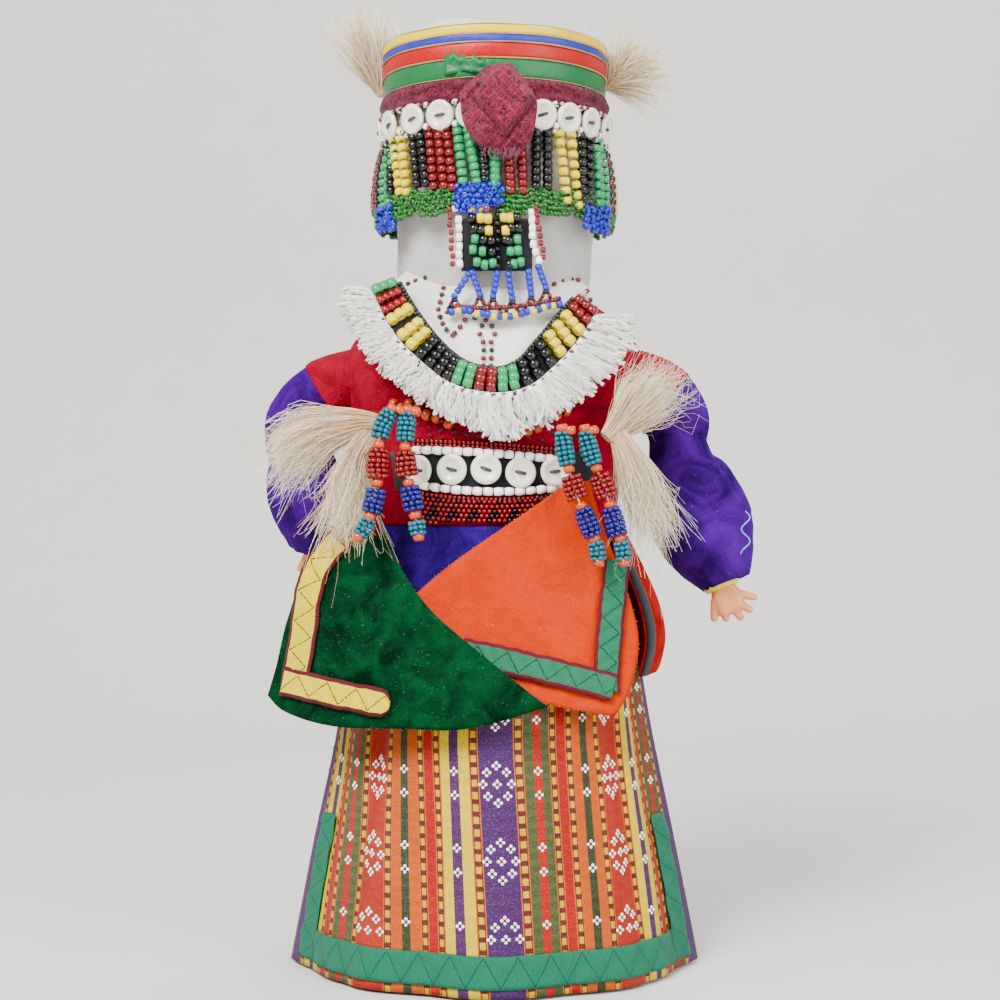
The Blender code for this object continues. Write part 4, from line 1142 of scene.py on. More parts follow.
WHITE = tone(255, 252, 244)
RED_SEED = tone(170, 2, 14)
DARK_RED = tone(150, 0, 12)
BLACK_GLASS = tone(3, 3, 4)
YELLOW_GLASS = tone(248, 220, 0)
TEAL_GLASS = tone(36, 184, 106)
SEA_GLASS = tone(8, 128, 150)
BLUE_GLASS = tone(26, 44, 228)
NAVY_GLASS = tone(26, 20, 150)
ORANGE_GLASS = tone(250, 84, 0)
LACE_GREEN = tone(28, 128, 30)

GREEN_LEFT = ((-77.5, -12, -33.5), (-74.5, -12, -24), (-70.5, -10, -7.5), (-63, -6, 9), (-48, -2, 18))
GREEN_BOTTOM = ((-77.5, -12, -33.5), (-71, -6.5, -38.5), (-54, 8, -41.5), (-30, 16, -41.5), (-8, 19, -41),
                (17.5, 20, -34))
GREEN_RIGHT = ((17.5, 20, -34), (-4.5, 16, -17), (-21, 11, -3), (-31.5, 6, 11.5), (-36, 2, 22.5))
GREEN_TOP = ((-48, -2, 18), (-42, 0.5, 21), (-36, 2, 22.5))
ORANGE_LEFT = ((-27, 6, 1), (-14.5, 5, 11.5), (2, 3.5, 23), (24, 0, 38))
ORANGE_BOTTOM = ((-27, 6, 1), (-17, 8, -13), (-1, 11, -27), (17, 12.5, -33.5), (40, 9, -38))
ORANGE_RIGHT = ((40, 9, -38), (45.5, 4, -29.5), (48.5, 0, -14), (44.5, -1, 3), (37, -1, 23),
                (32, -1.5, 39.5))
ORANGE_TOP = ((24, 0, 38), (28, -0.5, 39), (32, -1.5, 39.5))
SLEEVE_RIGHT = ((49, 0, 0, 10), (60, 0, -0.07, 12.5), (66, -2, -0.175, 12), (66, -3, -0.265, 9.8),
                (70, -5, -0.375, 15.5), (75, -7, -0.53, 18), (80, -9, -0.645, 13.5),
                (82.5, -10, -0.705, 8.5))
SLEEVE_LEFT = ((-49, 0, 0, 10), (-61, 1, -0.06, 12.5), (-70, 3, -0.165, 13.5), (-70, 4, -0.27, 11.5),
               (-68.5, 7, -0.385, 14.5), (-66.5, 10, -0.51, 12.5), (-67, 13, -0.58, 8.5))
GOLD_UP = ((338, 541), (325, 556), (315, 572), (308, 598), (305, 624), (301, 650), (297, 672), (295, 690))
GOLD_LOW = ((283, 681), (300, 685), (317, 689), (337, 694), (357, 698), (390, 705))
TEAL_UP = ((606, 692), (607, 668), (608, 650), (610, 628), (612, 606), (615, 582), (617, 560))
TEAL_LOW = ((462, 652), (485, 656), (507, 661), (545, 670), (585, 680), (614, 688))
FRONT_PIXEL = 0.322
SHOULDER_Z = WAIST_Z + TORSO_HEIGHT * 0.74
FINGERS = ((-6, 6, -9, 13), (-3.4, 10.5, -4, 15), (0.6, 11.5, 2.6, 17), (4.4, 10.5, 7.8, 15.2),
           (6.6, 7, 12, 10.6))
HAND_SCALE = 0.76
BUTTON_ROW_Z = 170.8
CAP_STEPS = 9
BUTTON_PITCH = 11.4
BUTTON_RADIUS = 5.2


def torso_grid(low, high, out, columns, rows, half_angle=radians(62), wave=0.0):
    """A band of the jacket's front between two heights, lifted by out."""
    def place(r, c):
        z = low + (high - low) * r / rows
        angle = half_angle * (2 * c / columns - 1)
        return around(angle, *torso_size(z, out + wave * ripple(angle * 6, z / 5)), z)

    return grid_of(rows + 1, columns + 1, place)


def sleeve_shape(points):
    """The path of a sleeve in 46 steps and its radius at a share of it."""
    middle = sleeve_path(points)
    radii = [p[3] for p in middle]

    def radius(share):
        place = share * (len(radii) - 1)
        i = min(int(place), len(radii) - 2)
        return min(radii[i] + (radii[i + 1] - radii[i]) * (place - i), 18.4)

    return along([p[:3] for p in middle], 46), radius


def shoulder_cap(points, side):
    """The jacket's own velvet over the top of a sleeve."""
    fine, radius = sleeve_shape(points)
    path = [fine[0] - Vector((12 * side, 0, 0))] + fine[:CAP_STEPS] + [fine[CAP_STEPS - 1]]
    last = len(path) - 1

    def size(share):
        step = round(share * last)
        if step == last:
            return 4.0
        return radius(max(step - 1, 0) / 45) + (1.1 if step < last - 1 else 0.7)

    rings = tube_rings(path, size, 56, lambda turn, share: 0.02 * share * sin(turn * 9))
    return outward_mesh(loft("shoulder_cap", rings))


def make_jacket():
    def body(r, c):
        z = WAIST_Z + TORSO_HEIGHT * r / 42
        angle = 2 * pi * c / 90
        in_front = abs(((angle + pi) % (2 * pi)) - pi) < 1.15
        return around(angle, *torso_size(z, 0.0 if in_front else 0.7 * ripple(angle * 4, z / 12)), z)

    caps = [shoulder_cap(SLEEVE_RIGHT, 1), shoulder_cap(SLEEVE_LEFT, -1)]
    add_piece("jacket_velvet", joined("jacket_velvet", loft("jacket_velvet", grid_of(43, 90, body)), *caps),
              CRIMSON_VELVET, "crimson_velvet", "jacket")
    add_piece("waist_velvet", shell("waist_velvet", torso_grid(129.0, 152.2, 1.9, 34, 14, wave=0.35), 1.5),
              INDIGO_VELVET, "indigo_velvet", "sash")
    add_piece("chest_velvet", shell("chest_velvet", torso_grid(152.6, 192.0, 1.4, 34, 22), 1.0),
              CRIMSON_VELVET,
              "crimson_velvet", "chest_panel")

    def back_skirt(r, c):
        up = JACKET_SKIRT_PROFILE[0][0] + JACKET_SKIRT_HEIGHT * r / 24
        angle = JACKET_SKIRT_SIDES[0] + (JACKET_SKIRT_SIDES[1] - JACKET_SKIRT_SIDES[0]) * c / 96
        fold = 1.6 * (1 - r / 24) * sin(angle * 9 + 1) * sin(pi * c / 96)
        radius = WAIST_DEPTH + smooth_value(JACKET_SKIRT_PROFILE, up) + min(fold, 1.2)
        return around(angle, radius, radius, WAIST_Z + up)

    def turned_edge(r, c):
        v, outer = TURNED_EDGE[-1 - r]
        ahead = -24 + 12 * (c / 6) ** 0.7 + 0.6 * sin(v * 0.12 + c)
        return at(outer + (TURNED_EDGE_INNER - outer) * c / 6, v, ahead)

    grid = grid_of(25, 97, back_skirt)
    edge = [[p + Vector((sin(radians(62)), -cos(radians(62)), 0)) * 0.35 for p in row[:4]] for row in grid]
    parts = [clad(shell("jacket_skirt", grid, 1.8), SCARLET_VELVET),
             clad(shell("binding", edge, 1.0), BLACK_CLOTH),
             clad(shell("turned_edge", grid_of(len(TURNED_EDGE), 7, turned_edge), 1.6), SCARLET_VELVET)]
    piece = add_joined("jacket_skirt_velvet", parts, "scarlet_velvet", "jacket_skirt")


def row_on_torso(start, end, count, out, dip=0.0):
    """Points along a row of the photograph, laid on the jacket's front."""
    places = []
    for i in range(count):
        share = i / max(count - 1, 1)
        u = start[0] + (end[0] - start[0]) * share
        v = start[1] + (end[1] - start[1]) * share + dip * (1 - (2 * share - 1) ** 2)
        places.append(on_torso(u, v, out))
    return places


def strung(rows, places, width, length, tints):
    """Add a bead at each place, its hole along the row."""
    for i, place in enumerate(places):
        ahead = (places[min(i + 1, len(places) - 1)] - places[max(i - 1, 0)]).normalized()
        rows.append((place, ahead, width, length, tints[i % len(tints)] if isinstance(tints,
                                                                                      list) else tints))


def front_normal(point):
    half_width, half_depth = torso_size(point.z, 0)
    return Vector((point.x / half_width**2, point.y / half_depth**2, 0)).normalized()


def make_chest_beads():
    """Rows of white beads and seeds round the buttons, sewn on the button band."""
    band = torso_grid(BUTTON_ROW_Z - 6.6, BUTTON_ROW_Z + 6.6, 2.6, 34, 10, half_angle=radians(47))
    cloth = clad(shell("button_cloth", band, 0.8), BLACK_CLOTH)
    rows, seeds = [], []
    strung(rows, row_on_torso((417, 450), (560, 460), 15, 3.6, -2), 3.1, 3.5, WHITE)
    strung(rows, row_on_torso((414, 484), (562, 487), 15, 3.6, 6), 3.1, 3.5, WHITE)
    for v, end, dip, count in ((441, 450, -2, 34), (445, 454, -2, 34), (492, 494, 6, 34)):
        strung(seeds, row_on_torso((414, v), (564, end), count, 2.6, dip), 1.8, 1.4, RED_SEED)
    for j in range(6):
        for i in range(30):
            u, v = 413 + 5.1 * i + (j % 2) * 2.5, 497 + 4.7 * j + 5 * (1 - ((413 + 5 * i - 488) / 75) ** 2)
            if v > 523:
                continue
            diamond = (i + j // 2 + (j % 2) * (i % 2)) % 4 == 1
            place = on_torso(u, v, 2.5)
            seeds.append((place, Vector((1, 0, 0.6 if i % 2 else -0.6)), 1.7, 1.4,
                          BLACK_GLASS if diamond else RED_SEED))
    for points in (((394, 404), (401.5, 408), (409.6, 403.5), (417, 409), (426.5, 415), (436.7, 418),
                    (448.5, 424)),
                   ((519, 434), (528, 431), (537, 428), (546, 419.6), (556, 416), (566, 411))):
        strung(rows, [on_torso(u, v, 4.2) for u, v in points], 3.9, 2.9, ORANGE_GLASS)
        for (u, v), (w, x) in zip(points, points[1:]):
            seeds.append((on_torso((u + w) / 2, (v + x) / 2, 3.8), Vector((1, 0, 0)), 1.8, 1.5, RED_SEED))
    beads = beads_mesh("band_beads", rows, BEADS, seed=3)
    small = beads_mesh("band_seeds", seeds, SEEDS, wobble=0.3, seed=4)
    add_joined("button_band_beads", [cloth, beads, small], "glass_beads", "button_band")
    spots = []
    for k in range(26):
        u, v = 418 + (k * 37) % 136, 424 + (k * 7) % 17
        place = on_torso(u, v, 2.0)
        spots.append((place, front_normal(place), (1.6 + (k % 3) * 0.8, 1.0), 0.5, tone(40, 8, 22)))
    mesh = beads_mesh("chest_spots", spots, STITCHES, seed=9, wobble=0.6, material=THREAD)
    add_piece("chest_embroidery", mesh, None, "crimson_velvet")


def button_parts(middle, outward_way, name, thread_turn):
    """A shell button: a dished disc with a raised rim and two holes, and a dark thread through them."""
    up = Vector((0, 0, 1))
    side = up.cross(outward_way).normalized()
    up = outward_way.cross(side).normalized()
    profile = ((0.0, 1.15), (0.3, 1.15), (0.52, 1.22), (0.62, 1.55), (0.74, 1.8), (0.9, 1.72), (1.0, 1.25),
               (1.0, 0.5), (0.93, 0.08), (0.5, 0.0), (0.0, 0.0))
    count = 28
    rings = []
    for share, height in profile:
        rings.append([middle + outward_way * height
                      + (side * cos(2 * pi * k / count) + up * sin(2 * pi * k / count)) * max(share, 0.02)
                      * BUTTON_RADIUS
                      for k in range(count)])
    disc = clad(outward_mesh(loft(name, rings)), PEARL)
    turn = radians(thread_turn)
    along_thread = side * cos(turn) + up * sin(turn)
    reach = 1.5
    rows = []
    for way in (-1, 1):
        rows.append((middle + along_thread * way * reach + outward_way * 1.2, outward_way, 1.25, 0.35,
                     BLACK_GLASS))
    path = [middle + along_thread * reach * t + outward_way * (1.2 + 0.55 * (1 - t * t))
            for t in (-1, -0.5, 0, 0.5, 1)]
    across = outward_way.cross(along_thread) * 0.28
    runs = [([p + across * way for p in path], [0.2, 0.34, 0.36, 0.34, 0.2],
             tone(42, 38, 38)) for way in (-1, 0, 1)]
    holes = beads_mesh(name + "_holes", rows, STITCHES, spread=0.0, wobble=0.0, material=THREAD)
    thread = strands_mesh(name + "_thread", runs, 5, THREAD)
    return [disc, holes, thread]


def make_chest_buttons():
    parts = []
    half_width, half_depth = torso_size(BUTTON_ROW_Z, 3.4)
    for n in range(5):
        angle = asin((-2.6 + (n - 2) * BUTTON_PITCH) / half_width)
        way = Vector((sin(angle) / half_width, -cos(angle) / half_depth, 0)).normalized()
        middle = around(angle, half_width, half_depth, BUTTON_ROW_Z + (0.3, 0.5, 0.6, -0.6, -0.2)[n])
        parts += button_parts(middle, way, f"chest_{n}", thread_turn=(-8, -15, -20, -12, 6)[n])
    add_joined("chest_buttons", parts, "pearl", *[f"chest_button_{n + 1}" for n in range(5)])


def make_flap(name, curves, thickness, material, slot, node, sag, folds=()):
    bottom, top, left, right = [placed(curve, WAIST_DEPTH, WAIST_Z) for curve in curves]
    grid = patch(bottom, top, left, right, 53, 45)

    def lift(r, c):
        total = sag * ripple(c / 9, r / 8) * sin(pi * min(r / 6, 1) / 2)
        for start, end, height, spread in folds:
            share = (c / 52 - start[0]) / (end[0] - start[0])
            off = r / 44 - start[1] - (end[1] - start[1]) * share
            if -0.15 < share < 1.15:
                total += height * bell(off / spread) * max(sin(pi * (share + 0.15) / 1.3), 0)
        return total

    wavy = lifted(grid, lift)
    mesh = clad(shell(name, wavy, thickness, rim=0.28), material[0])
    fluff = []
    rows, columns = len(wavy), len(wavy[0])
    border = [(0, c) for c in range(columns)] + [(r, 0) for r in range(rows)] + [(r, columns - 1)
                                                                                 for r in range(rows)]
    source = random.Random(len(name))
    for r, c in border:
        for _ in range(3):
            way = loose_way(source, 0.2)
            start = wavy[r][c] - outward(wavy, r, c) * thickness * source.uniform(0.2, 0.8)
            fluff.append(([start, start + way * source.uniform(0.4, 0.9)], [0.07, 0.03], material[1]))
    hairs = strands_mesh(name + "_fluff", fluff, 3, THREAD)
    add_joined(name, [mesh, hairs], slot, node)
    return wavy


def over(grid):
    """A finder of the point over a grid that the photograph shows at u and v."""
    cells = [(r, c) for r in range(len(grid)) for c in range(len(grid[0]))]
    near = KDTree(len(cells))
    for i, (r, c) in enumerate(cells):
        near.insert((*pixel_of(grid[r][c]), 0), i)
    near.balance()

    def find(u, v, out):
        depth, total = 0.0, 0.0
        for _, i, distance in near.find_n((u, v, 0), 6):
            r, c = cells[i]
            weight = 1 / (distance + 0.5) ** 2
            depth += weight * (grid[r][c] + outward(grid, r, c) * out).y
            total += weight
        return at(u, v, depth / total)

    return find


def ribbon_run(name, find, path, half_width, out, material, rounded=False, columns=9, thickness=0.7):
    """A ribbon laid on a flap along places of the photograph, with its own coordinates across and along."""
    spots = along([(u, v, 0) for u, v in path], 70, 8)
    last = len(spots) - 1
    reach = lengths(spots, FRONT_PIXEL)
    lines = []
    for i, spot in enumerate(spots):
        ahead = (spots[min(i + 1, last)] - spots[max(i - 1, 0)]).normalized()
        across = Vector((ahead.y, -ahead.x, 0))
        width = half_width * (1 + 0.05 * ripple(reach[i] / 3, half_width)) / FRONT_PIXEL
        if rounded:
            width *= min(((last - i + 0.7) / 5) ** 0.5, 1)
        line = []
        for k in range(columns):
            place = spot + across * width * (2 * k / (columns - 1) - 1)
            pucker = 0.22 * sin(reach[i] * 1.25 + k) + 0.2 * ripple(reach[i] / 4, k / 3)
            line.append(find(place.x, place.y, out + pucker))
        lines.append(line)
    mesh = shell(name, lines, thickness, rim=0.3)
    lay_uv(mesh, columns * len(lines),
           lambda vertex: (half_width * (2 * (vertex % columns) / (columns - 1) - 1),
                           reach[vertex // columns]))
    return clad(mesh, material)


def make_flaps():
    green = make_flap("green_flap_velvet", (GREEN_BOTTOM, GREEN_TOP, GREEN_LEFT, GREEN_RIGHT), 1.8,
                      (GREEN_VELVET, tone(90, 60, 60)), "green_velvet", "flap_green", 0.45,
                      folds=(((0.16, 0.62), (0.62, 0.14), 1.5, 0.045), ((0.5, 0.5), (0.95, 0.1), 0.9, 0.05)))
    on_green = over(green)
    parts = [ribbon_run("gold_up", on_green, GOLD_UP, 4.4, 1.1, GOLD_TRIM),
             ribbon_run("gold_low", on_green, GOLD_LOW, 4.7, 1.7, GOLD_TRIM, rounded=True)]
    add_joined("gold_flap_trim", parts, "gold_ribbon", "flap_green_trim")
    orange = make_flap("orange_flap_velvet", (ORANGE_BOTTOM, ORANGE_TOP, ORANGE_LEFT, ORANGE_RIGHT), 1.8,
                       (ORANGE_VELVET, tone(250, 130, 60)), "orange_velvet", "flap_orange", 0.4)
    on_orange = over(orange)
    parts = [ribbon_run("teal_up", on_orange, TEAL_UP, 4.3, 1.1, TEAL_TRIM),
             ribbon_run("teal_low", on_orange, TEAL_LOW, 4.5, 1.7, TEAL_TRIM)]
    add_joined("teal_flap_trim", parts, "teal_ribbon", "flap_orange_trim")


def sleeve_path(points):
    return along([(x, y, SHOULDER_Z + TORSO_HEIGHT * share, radius) for x, y, share, radius in points], 12)


def hand_mesh(end, down):
    """Palm and five fingers, made one smooth skin."""
    across = (Vector((1, 0, 0)) - down * down.x).normalized()
    deep = down.cross(across).normalized()
    work = bmesh.new()

    def blob(middle, radius, flat=1.0):
        matrix = Matrix.Translation(middle) @ Matrix((across, deep, down)).transposed().to_4x4()
        matrix = matrix @ Matrix.Diagonal((1, flat, 1, 1))
        bmesh.ops.create_icosphere(work, subdivisions=2, radius=radius, matrix=matrix)

    for away, share in ((0.5, 0.62), (2, 0.6), (4, 0.78), (6.5, 0.92), (9, 0.9), (11, 0.82)):
        for place in (-0.55, -0.2, 0.2, 0.55):
            blob(end + (down * away + across * 7.6 * share * place) * HAND_SCALE, 2.7, 0.95)
    for root_x, root_y, tip_x, tip_y in FINGERS:
        for t in range(7):
            x, y = root_x + (tip_x - root_x) * t / 6, root_y + (tip_y - root_y) * t / 6
            bend = 1.2 * sin(t / 6 * 1.6)
            blob(end + (across * x + down * y - deep * bend) * HAND_SCALE, 1.6 - 0.15 * t / 6)
    mesh = bpy.data.meshes.new("hand")
    for vertex in work.verts:
        vertex.co *= MM
    work.to_mesh(mesh)
    work.free()
    holder = bpy.data.objects.new("hand_base", mesh)
    bpy.context.scene.collection.objects.link(holder)
    remesh = holder.modifiers.new("skin", "REMESH")
    remesh.mode = "VOXEL"
    remesh.voxel_size = 0.45 * MM
    smoothing = holder.modifiers.new("smooth", "SMOOTH")
    smoothing.iterations = 4
    graph = bpy.context.evaluated_depsgraph_get()
    result = bpy.data.meshes.new_from_object(holder.evaluated_get(graph))
    bpy.data.objects.remove(holder)
    result.polygons.foreach_set("use_smooth", [True] * len(result.polygons))
    return result


def make_arm(side, points, name):
    """A gathered velvet sleeve, its satin cuff and the hand."""
    path = [Vector(p[:3]) for p in sleeve_path(points)]
    fine, radius = sleeve_shape(points)

    def gathers(turn, share):
        near_seam = bell((share - 0.34) / 0.09) + bell((share - 1.0) / 0.1)
        seam = 0.03 * bell((share - 0.34) / 0.03)
        return 0.035 * near_seam * sin(turn * 11) + 0.022 * ripple(turn * 2, share * 16) - seam

    parts = [clad(loft("sleeve", tube_rings(fine, radius, 56, gathers)), PURPLE_VELVET)]
    if side > 0:
        line = []
        for k in range(15):
            place = at(741 + 4.5 * sin(k * 0.8), 511 + 3.0 * k, -9)
            line.append(Vector((place.x, -22.0 + abs(k - 7) * 0.2, place.z)))
        parts.append(strands_mesh("sleeve_stitches", [(line, 0.24, tone(110, 190, 225))], 5, THREAD))
    add_joined(f"sleeve_{name}_velvet", parts, "purple_velvet", f"sleeve_{name}")
    down = (path[-1] - path[-2]).normalized()
    start = path[-1] + Vector((-3.0 * side, 0, 1.8)) + down * 0.4
    band = along([start, start + down * 1.8, start + down * 3.6], 9)
    rings = tube_rings(band, lambda share: 6.6 * (1 + 0.05 * sin(share * pi) - 0.12 * share), 40,
                       lambda turn, share: 0.02 * sin(turn * 14))
    add_piece(f"cuff_{name}_satin", outward_mesh(loft("cuff", rings)), YELLOW_SATIN, "yellow_satin",
              f"cuff_{name}")
    add_piece(f"hand_{name}_vinyl", hand_mesh(start + down * 2.4, down), VINYL, "vinyl", f"hand_{name}")


HEAD_BUTTON_Z = 292.0
BUTTON_TURNS = (-101, -82, -62.9, -43, -26.5, -11, 7, 23.6, 38.5, 54.5, 73, 90, 105)
CURTAIN_TOP, CURTAIN_LOW = 286.4, 257.5
STRIP_MIDDLE, STRIP_HALF = 0.9, 13.2
STRIP_LOW, STRIP_HIGH = 238.5, 256.3
NECK = ((-35, -12, 5.5), (-26, -2, 1.5), (-12, 6, -2), (0, 8, -3), (12, 6, -2), (25, -2, 1), (33, -11, 3.5))
INNER = ((-33, 4, 2.5), (-26, 9, -9), (-18, 13, -19), (-10, 16, -25.5), (0, 17.5, -28), (8, 17, -25.5),
         (15, 14.5, -18), (22, 11, -9.5), (27.5, 7, -3))
OUTER = ((-41, 3, -0.5), (-35, 9, -12.5), (-27, 14, -22), (-15, 17.5, -31.5), (-1, 19, -35), (11, 18.5, -33),
         (20, 16, -26), (28, 12, -17), (34, 7, -8))
FRINGE = ((-53, 4, 1), (-48, 11, -15), (-36, 17, -29), (-21, 21, -40.5), (-7, 22.5, -47.5), (3, 23, -51),
          (17, 22, -46), (32, 19, -35), (44, 14, -23.5), (48, 8, -9))
STRING_PROFILE = ((0, 1.6), (0.05, 2.9), (0.24, 3), (0.29, 1.9), (0.34, 3.2), (0.52, 3.5), (0.57, 1.9),
                  (0.62, 3.2), (0.78, 3.2), (0.82, 1.9), (0.87, 2.8), (0.97, 2.6), (1, 1.4))
STRINGS = {
    "left_outer": ((-33.5, 16, -41), (-37, 17.5, -48), (-38, 18.5, -56.5), (-38.5, 19, -67.5),
                   (-41, 19.5, -77.5),
                   (-44.5, 20, -83.5)),
    "left_inner": ((-28.5, 16, -41.5), (-29, 17.5, -49.5), (-29, 18.5, -58), (-27.5, 19, -67.5),
                   (-25.5, 19.5, -77.5), (-24.5, 20, -83.5)),
    "right_inner": ((22.5, 16, -47.5), (23.5, 16.5, -56), (26.5, 17, -67.5), (30.5, 17, -77.5),
                    (33.5, 17, -85.5),
                    (34.5, 17, -92)),
    "right_outer": ((30, 14.5, -47.5), (32, 15, -56), (36.5, 15, -67.5), (39.5, 15, -77.5),
                    (42, 15.5, -85.5),
                    (43, 15.5, -92)),
}
# Root, then the fan's middle direction and half width in degrees from upright towards +X, and its reach
HAT_TUFTS = {
    "left": ((-41.0, 0.0, 307.0), -14, 30, (25, 34)),
    "right": ((40.6, 0.0, 309.5), 52, 62, (17, 27)),
}
CHEST_TUFTS = {
    "left": (((-38.5, 11, -45.5, 2.6), (-48, 8, -46, 5), (-60, 3, -49, 8), (-69, -2, -55.5, 8.5),
              (-73, -4, -60.5, 5.5)),
             ((-40.5, 10.5, -49, 3), (-44.5, 11, -56, 4.6), (-47.5, 11.5, -68, 6.5), (-50, 12, -77.5, 5.5),
              (-51, 12, -80.5, 3.5))),
    "right": (((37.5, 9, -50.5, 2.4), (43, 6.5, -45, 5), (49, 3, -39, 7.5), (54.5, 0, -34, 7.5),
               (57, -1, -31.5, 5)),
              ((41, 8, -48.5, 2.6), (45, 9, -57, 4.4), (49, 8.5, -67, 6), (52, 7.5, -77.5, 5.5),
               (53, 7.5, -82.5, 3))),
}
CURTAIN_STRANDS = (
    (390.5, 141, 391, 191, "black"),
    (393, 133, 400, 192, "yellow"), (401, 131, 407, 192, "yellow"), (412, 131, 417, 184, "black"),
    (420, 129, 426, 183, "black"), (429, 128, 434, 186, "red"), (438, 128, 444, 186, "red"),
    (446.7, 128, 453, 187, "red"), (457, 124, 463, 181, "teal"), (468, 130, 477, 182, "teal"),
    (482, 136, 485, 179, "black"), (495, 138, 495, 184, "teal"), (508, 142, 510.5, 190, "red"),
    (521, 140, 523, 190, "red"), (536, 134, 536, 186, "black"), (547.5, 134, 547.5, 186, "black"),
    (559, 134, 566.6, 200, "yellow"), (571, 135, 577.5, 205, "yellow"), (580.6, 136, 583, 199, "black"),
    (589.5, 140, 589.5, 202, "black"), (597, 142, 597, 203, "teal"))
GLASS_COLOURS = {"teal": TEAL_GLASS, "black": BLACK_GLASS, "yellow": YELLOW_GLASS, "red": DARK_RED}


def ring_rows(levels, radius_of, count, start=pi):
    return [[around(start + 2 * pi * k / count, radius_of(z, start + 2 * pi * k / count),
                    radius_of(z, start + 2 * pi * k / count), z) for k in range(count)] for z in levels]


def on_head(u, v, out):
    """The point round the head, lifted by out (a number or a function of height), at u and v."""
    y = -40.0
    for _ in range(5):
        point = at(u, v, y)
        radius = head_radius(point.z) + (out(point.z) if callable(out) else out)
        y = -radius * cos(asin(min(max(point.x / radius, -0.995), 0.995)))
    return at(u, v, y)


def curtain_lift(z):
    share = (CURTAIN_TOP - z) / 28.9
    return 0.9 + 4.2 * sin(min(max(share, 0) * 1.3, 1) * pi / 2) - 1.2 * (1 - share)


def make_veil():
    levels = [HEAD_BOTTOM + HEAD_HEIGHT * i / 63 for i in range(64)]

    def radius(z, angle):
        share = (z - HEAD_BOTTOM) / HEAD_HEIGHT
        folds = (1.3 * max(1 - share, 0) ** 0.7 * ripple(angle * 5, z / 14)
                 + 0.7 * (1 - share) * sin(angle * 13 + z / 8))
        return head_radius(z) + max(folds, -0.9)

    add_piece("head_veil_cloth", loft("head_veil", ring_rows(levels, radius, 132)), VEIL, "white_cloth",
              "head_veil")


def make_hat():
    profile = [(HAT_Z, HAT_RADIUS - 0.3)] + [(HAT_Z + 18 * i / 6, HAT_RADIUS - 0.1) for i in range(1, 7)]
    profile += [(HAT_TOP, HAT_RADIUS - 0.4), (HAT_TOP + 0.7, HAT_RADIUS * 0.95),
                (HAT_TOP + 1.3, HAT_RADIUS * 0.82)]
    profile += [(HAT_TOP + 1.6 - 0.2 * i, HAT_RADIUS * (0.66 - 0.2 * i)) for i in range(3)]
    rings = []
    for z, radius in profile:
        ring = []
        for k in range(96):
            turn = 2 * pi * k / 96
            rise = 0.5 * ripple(k / 5, radius / 7) if z > HAT_TOP + 0.8 else 0
            if z >= HAT_TOP:
                rise += 2.3 * bell((turn - pi + 0.42) / 0.3) * (radius / HAT_RADIUS) ** 3
            ring.append(around(turn + pi, radius, radius, z + rise))
        rings.append(ring)
    add_piece("hat_crown", loft("hat_crown", rings), VEIL, "white_cloth", "hat")
    z = HAT_Z
    for colour, height, material in (("green", 6.6, GREEN_RIBBON), ("red", 5.2, RED_RIBBON),
                                     ("blue", 2.6, BLUE_RIBBON), ("yellow", 3.2, YELLOW_RIBBON)):
        grid = []
        rows = 7
        for r in range(rows + 1):
            line = []
            for k in range(168):
                angle = 2 * pi * k / 168
                edge = 0.28 * ripple(k / 6, z) * (1 if 0 < r < rows else 0.6)
                soft = 0.22 * ripple(k / 4, r * 1.7, z)
                if colour == "green":
                    soft += 0.5 * bell((angle - 2.9) / 0.16) * ripple(k, r)
                puff = 0.12 * sin(pi * r / rows)
                line.append(around(angle + pi, HAT_RADIUS + 1.0 + soft + puff,
                                   HAT_RADIUS + 1.0 + soft + puff,
                                   z + height * r / rows + edge * 0.7))
            grid.append(line)
        mesh = shell(f"hat_{colour}", grid, 0.7, closed=True)
        mesh.materials.append(material)
        parts = [mesh]
        hems = []
        for row in (grid[0], grid[-1]):
            path = [Vector((p.x * 1.003, p.y * 1.003, p.z)) for p in row + row[:1]]
            hems.append((path, 0.17, tone(214, 150, 84)))
        parts.append(strands_mesh(f"hat_{colour}_hems", hems, 4, THREAD))
        if colour == "green":
            parts.append(loose_end())
        add_piece(f"hat_ribbon_{colour}_satin", joined(f"hat_ribbon_{colour}_satin", *parts),
                  None, RIBBON_SLOTS[colour], f"hat_ribbon_{colour}")
        z += height + 0.2


RIBBON_SLOTS = {"green": "teal_ribbon", "red": "red_satin", "blue": "blue_satin", "yellow": "yellow_satin"}


def loose_end():
    """The green ribbon's crumpled end, turned over the front."""
    grid = []
    tops = (52, 54, 51, 56, 53, 58, 54, 60, 57, 63, 60)
    for r in range(7):
        line = []
        for c in range(11):
            u = 444 + 5.0 * c
            v = 76 + (tops[c] - 76) * r / 6 - 4 * sin(pi * c / 10) * (1 - r / 6)
            lift = HAT_RADIUS + 1.7 - head_radius(310) + 0.7 * sin(c * 1.4 + r * 0.8) + 0.4 * sin(r * 1.9)
            line.append(on_head(u, v, lift))
        grid.append(line)
    mesh = shell("loose_end", grid, 0.4)
    mesh.materials.append(GREEN_RIBBON)
    return mesh


def make_headband():
    grid = []
    rows, count = 14, 190
    for r in range(rows + 1):
        line = []
        for k in range(count):
            angle = 2 * pi * k / count
            share = r / rows
            fold = 0.4 * sin(share * 11 + 1.8 * ripple(angle * 3, 1)) + 0.4 * ripple(angle * 14, share * 4)
            radius = 40.7 + (fold + 0.3) * max(sin(pi * share), 0) ** 0.5
            line.append(around(angle + pi, radius, radius,
                               295.6 + 8.2 * share + 0.3 * ripple(angle * 7, share)))
        grid.append(line)
    add_piece("headband_crepe", shell("headband_crepe", grid, 1.2, closed=True), BURGUNDY_CLOTH,
              "burgundy_cloth",
              "headband")


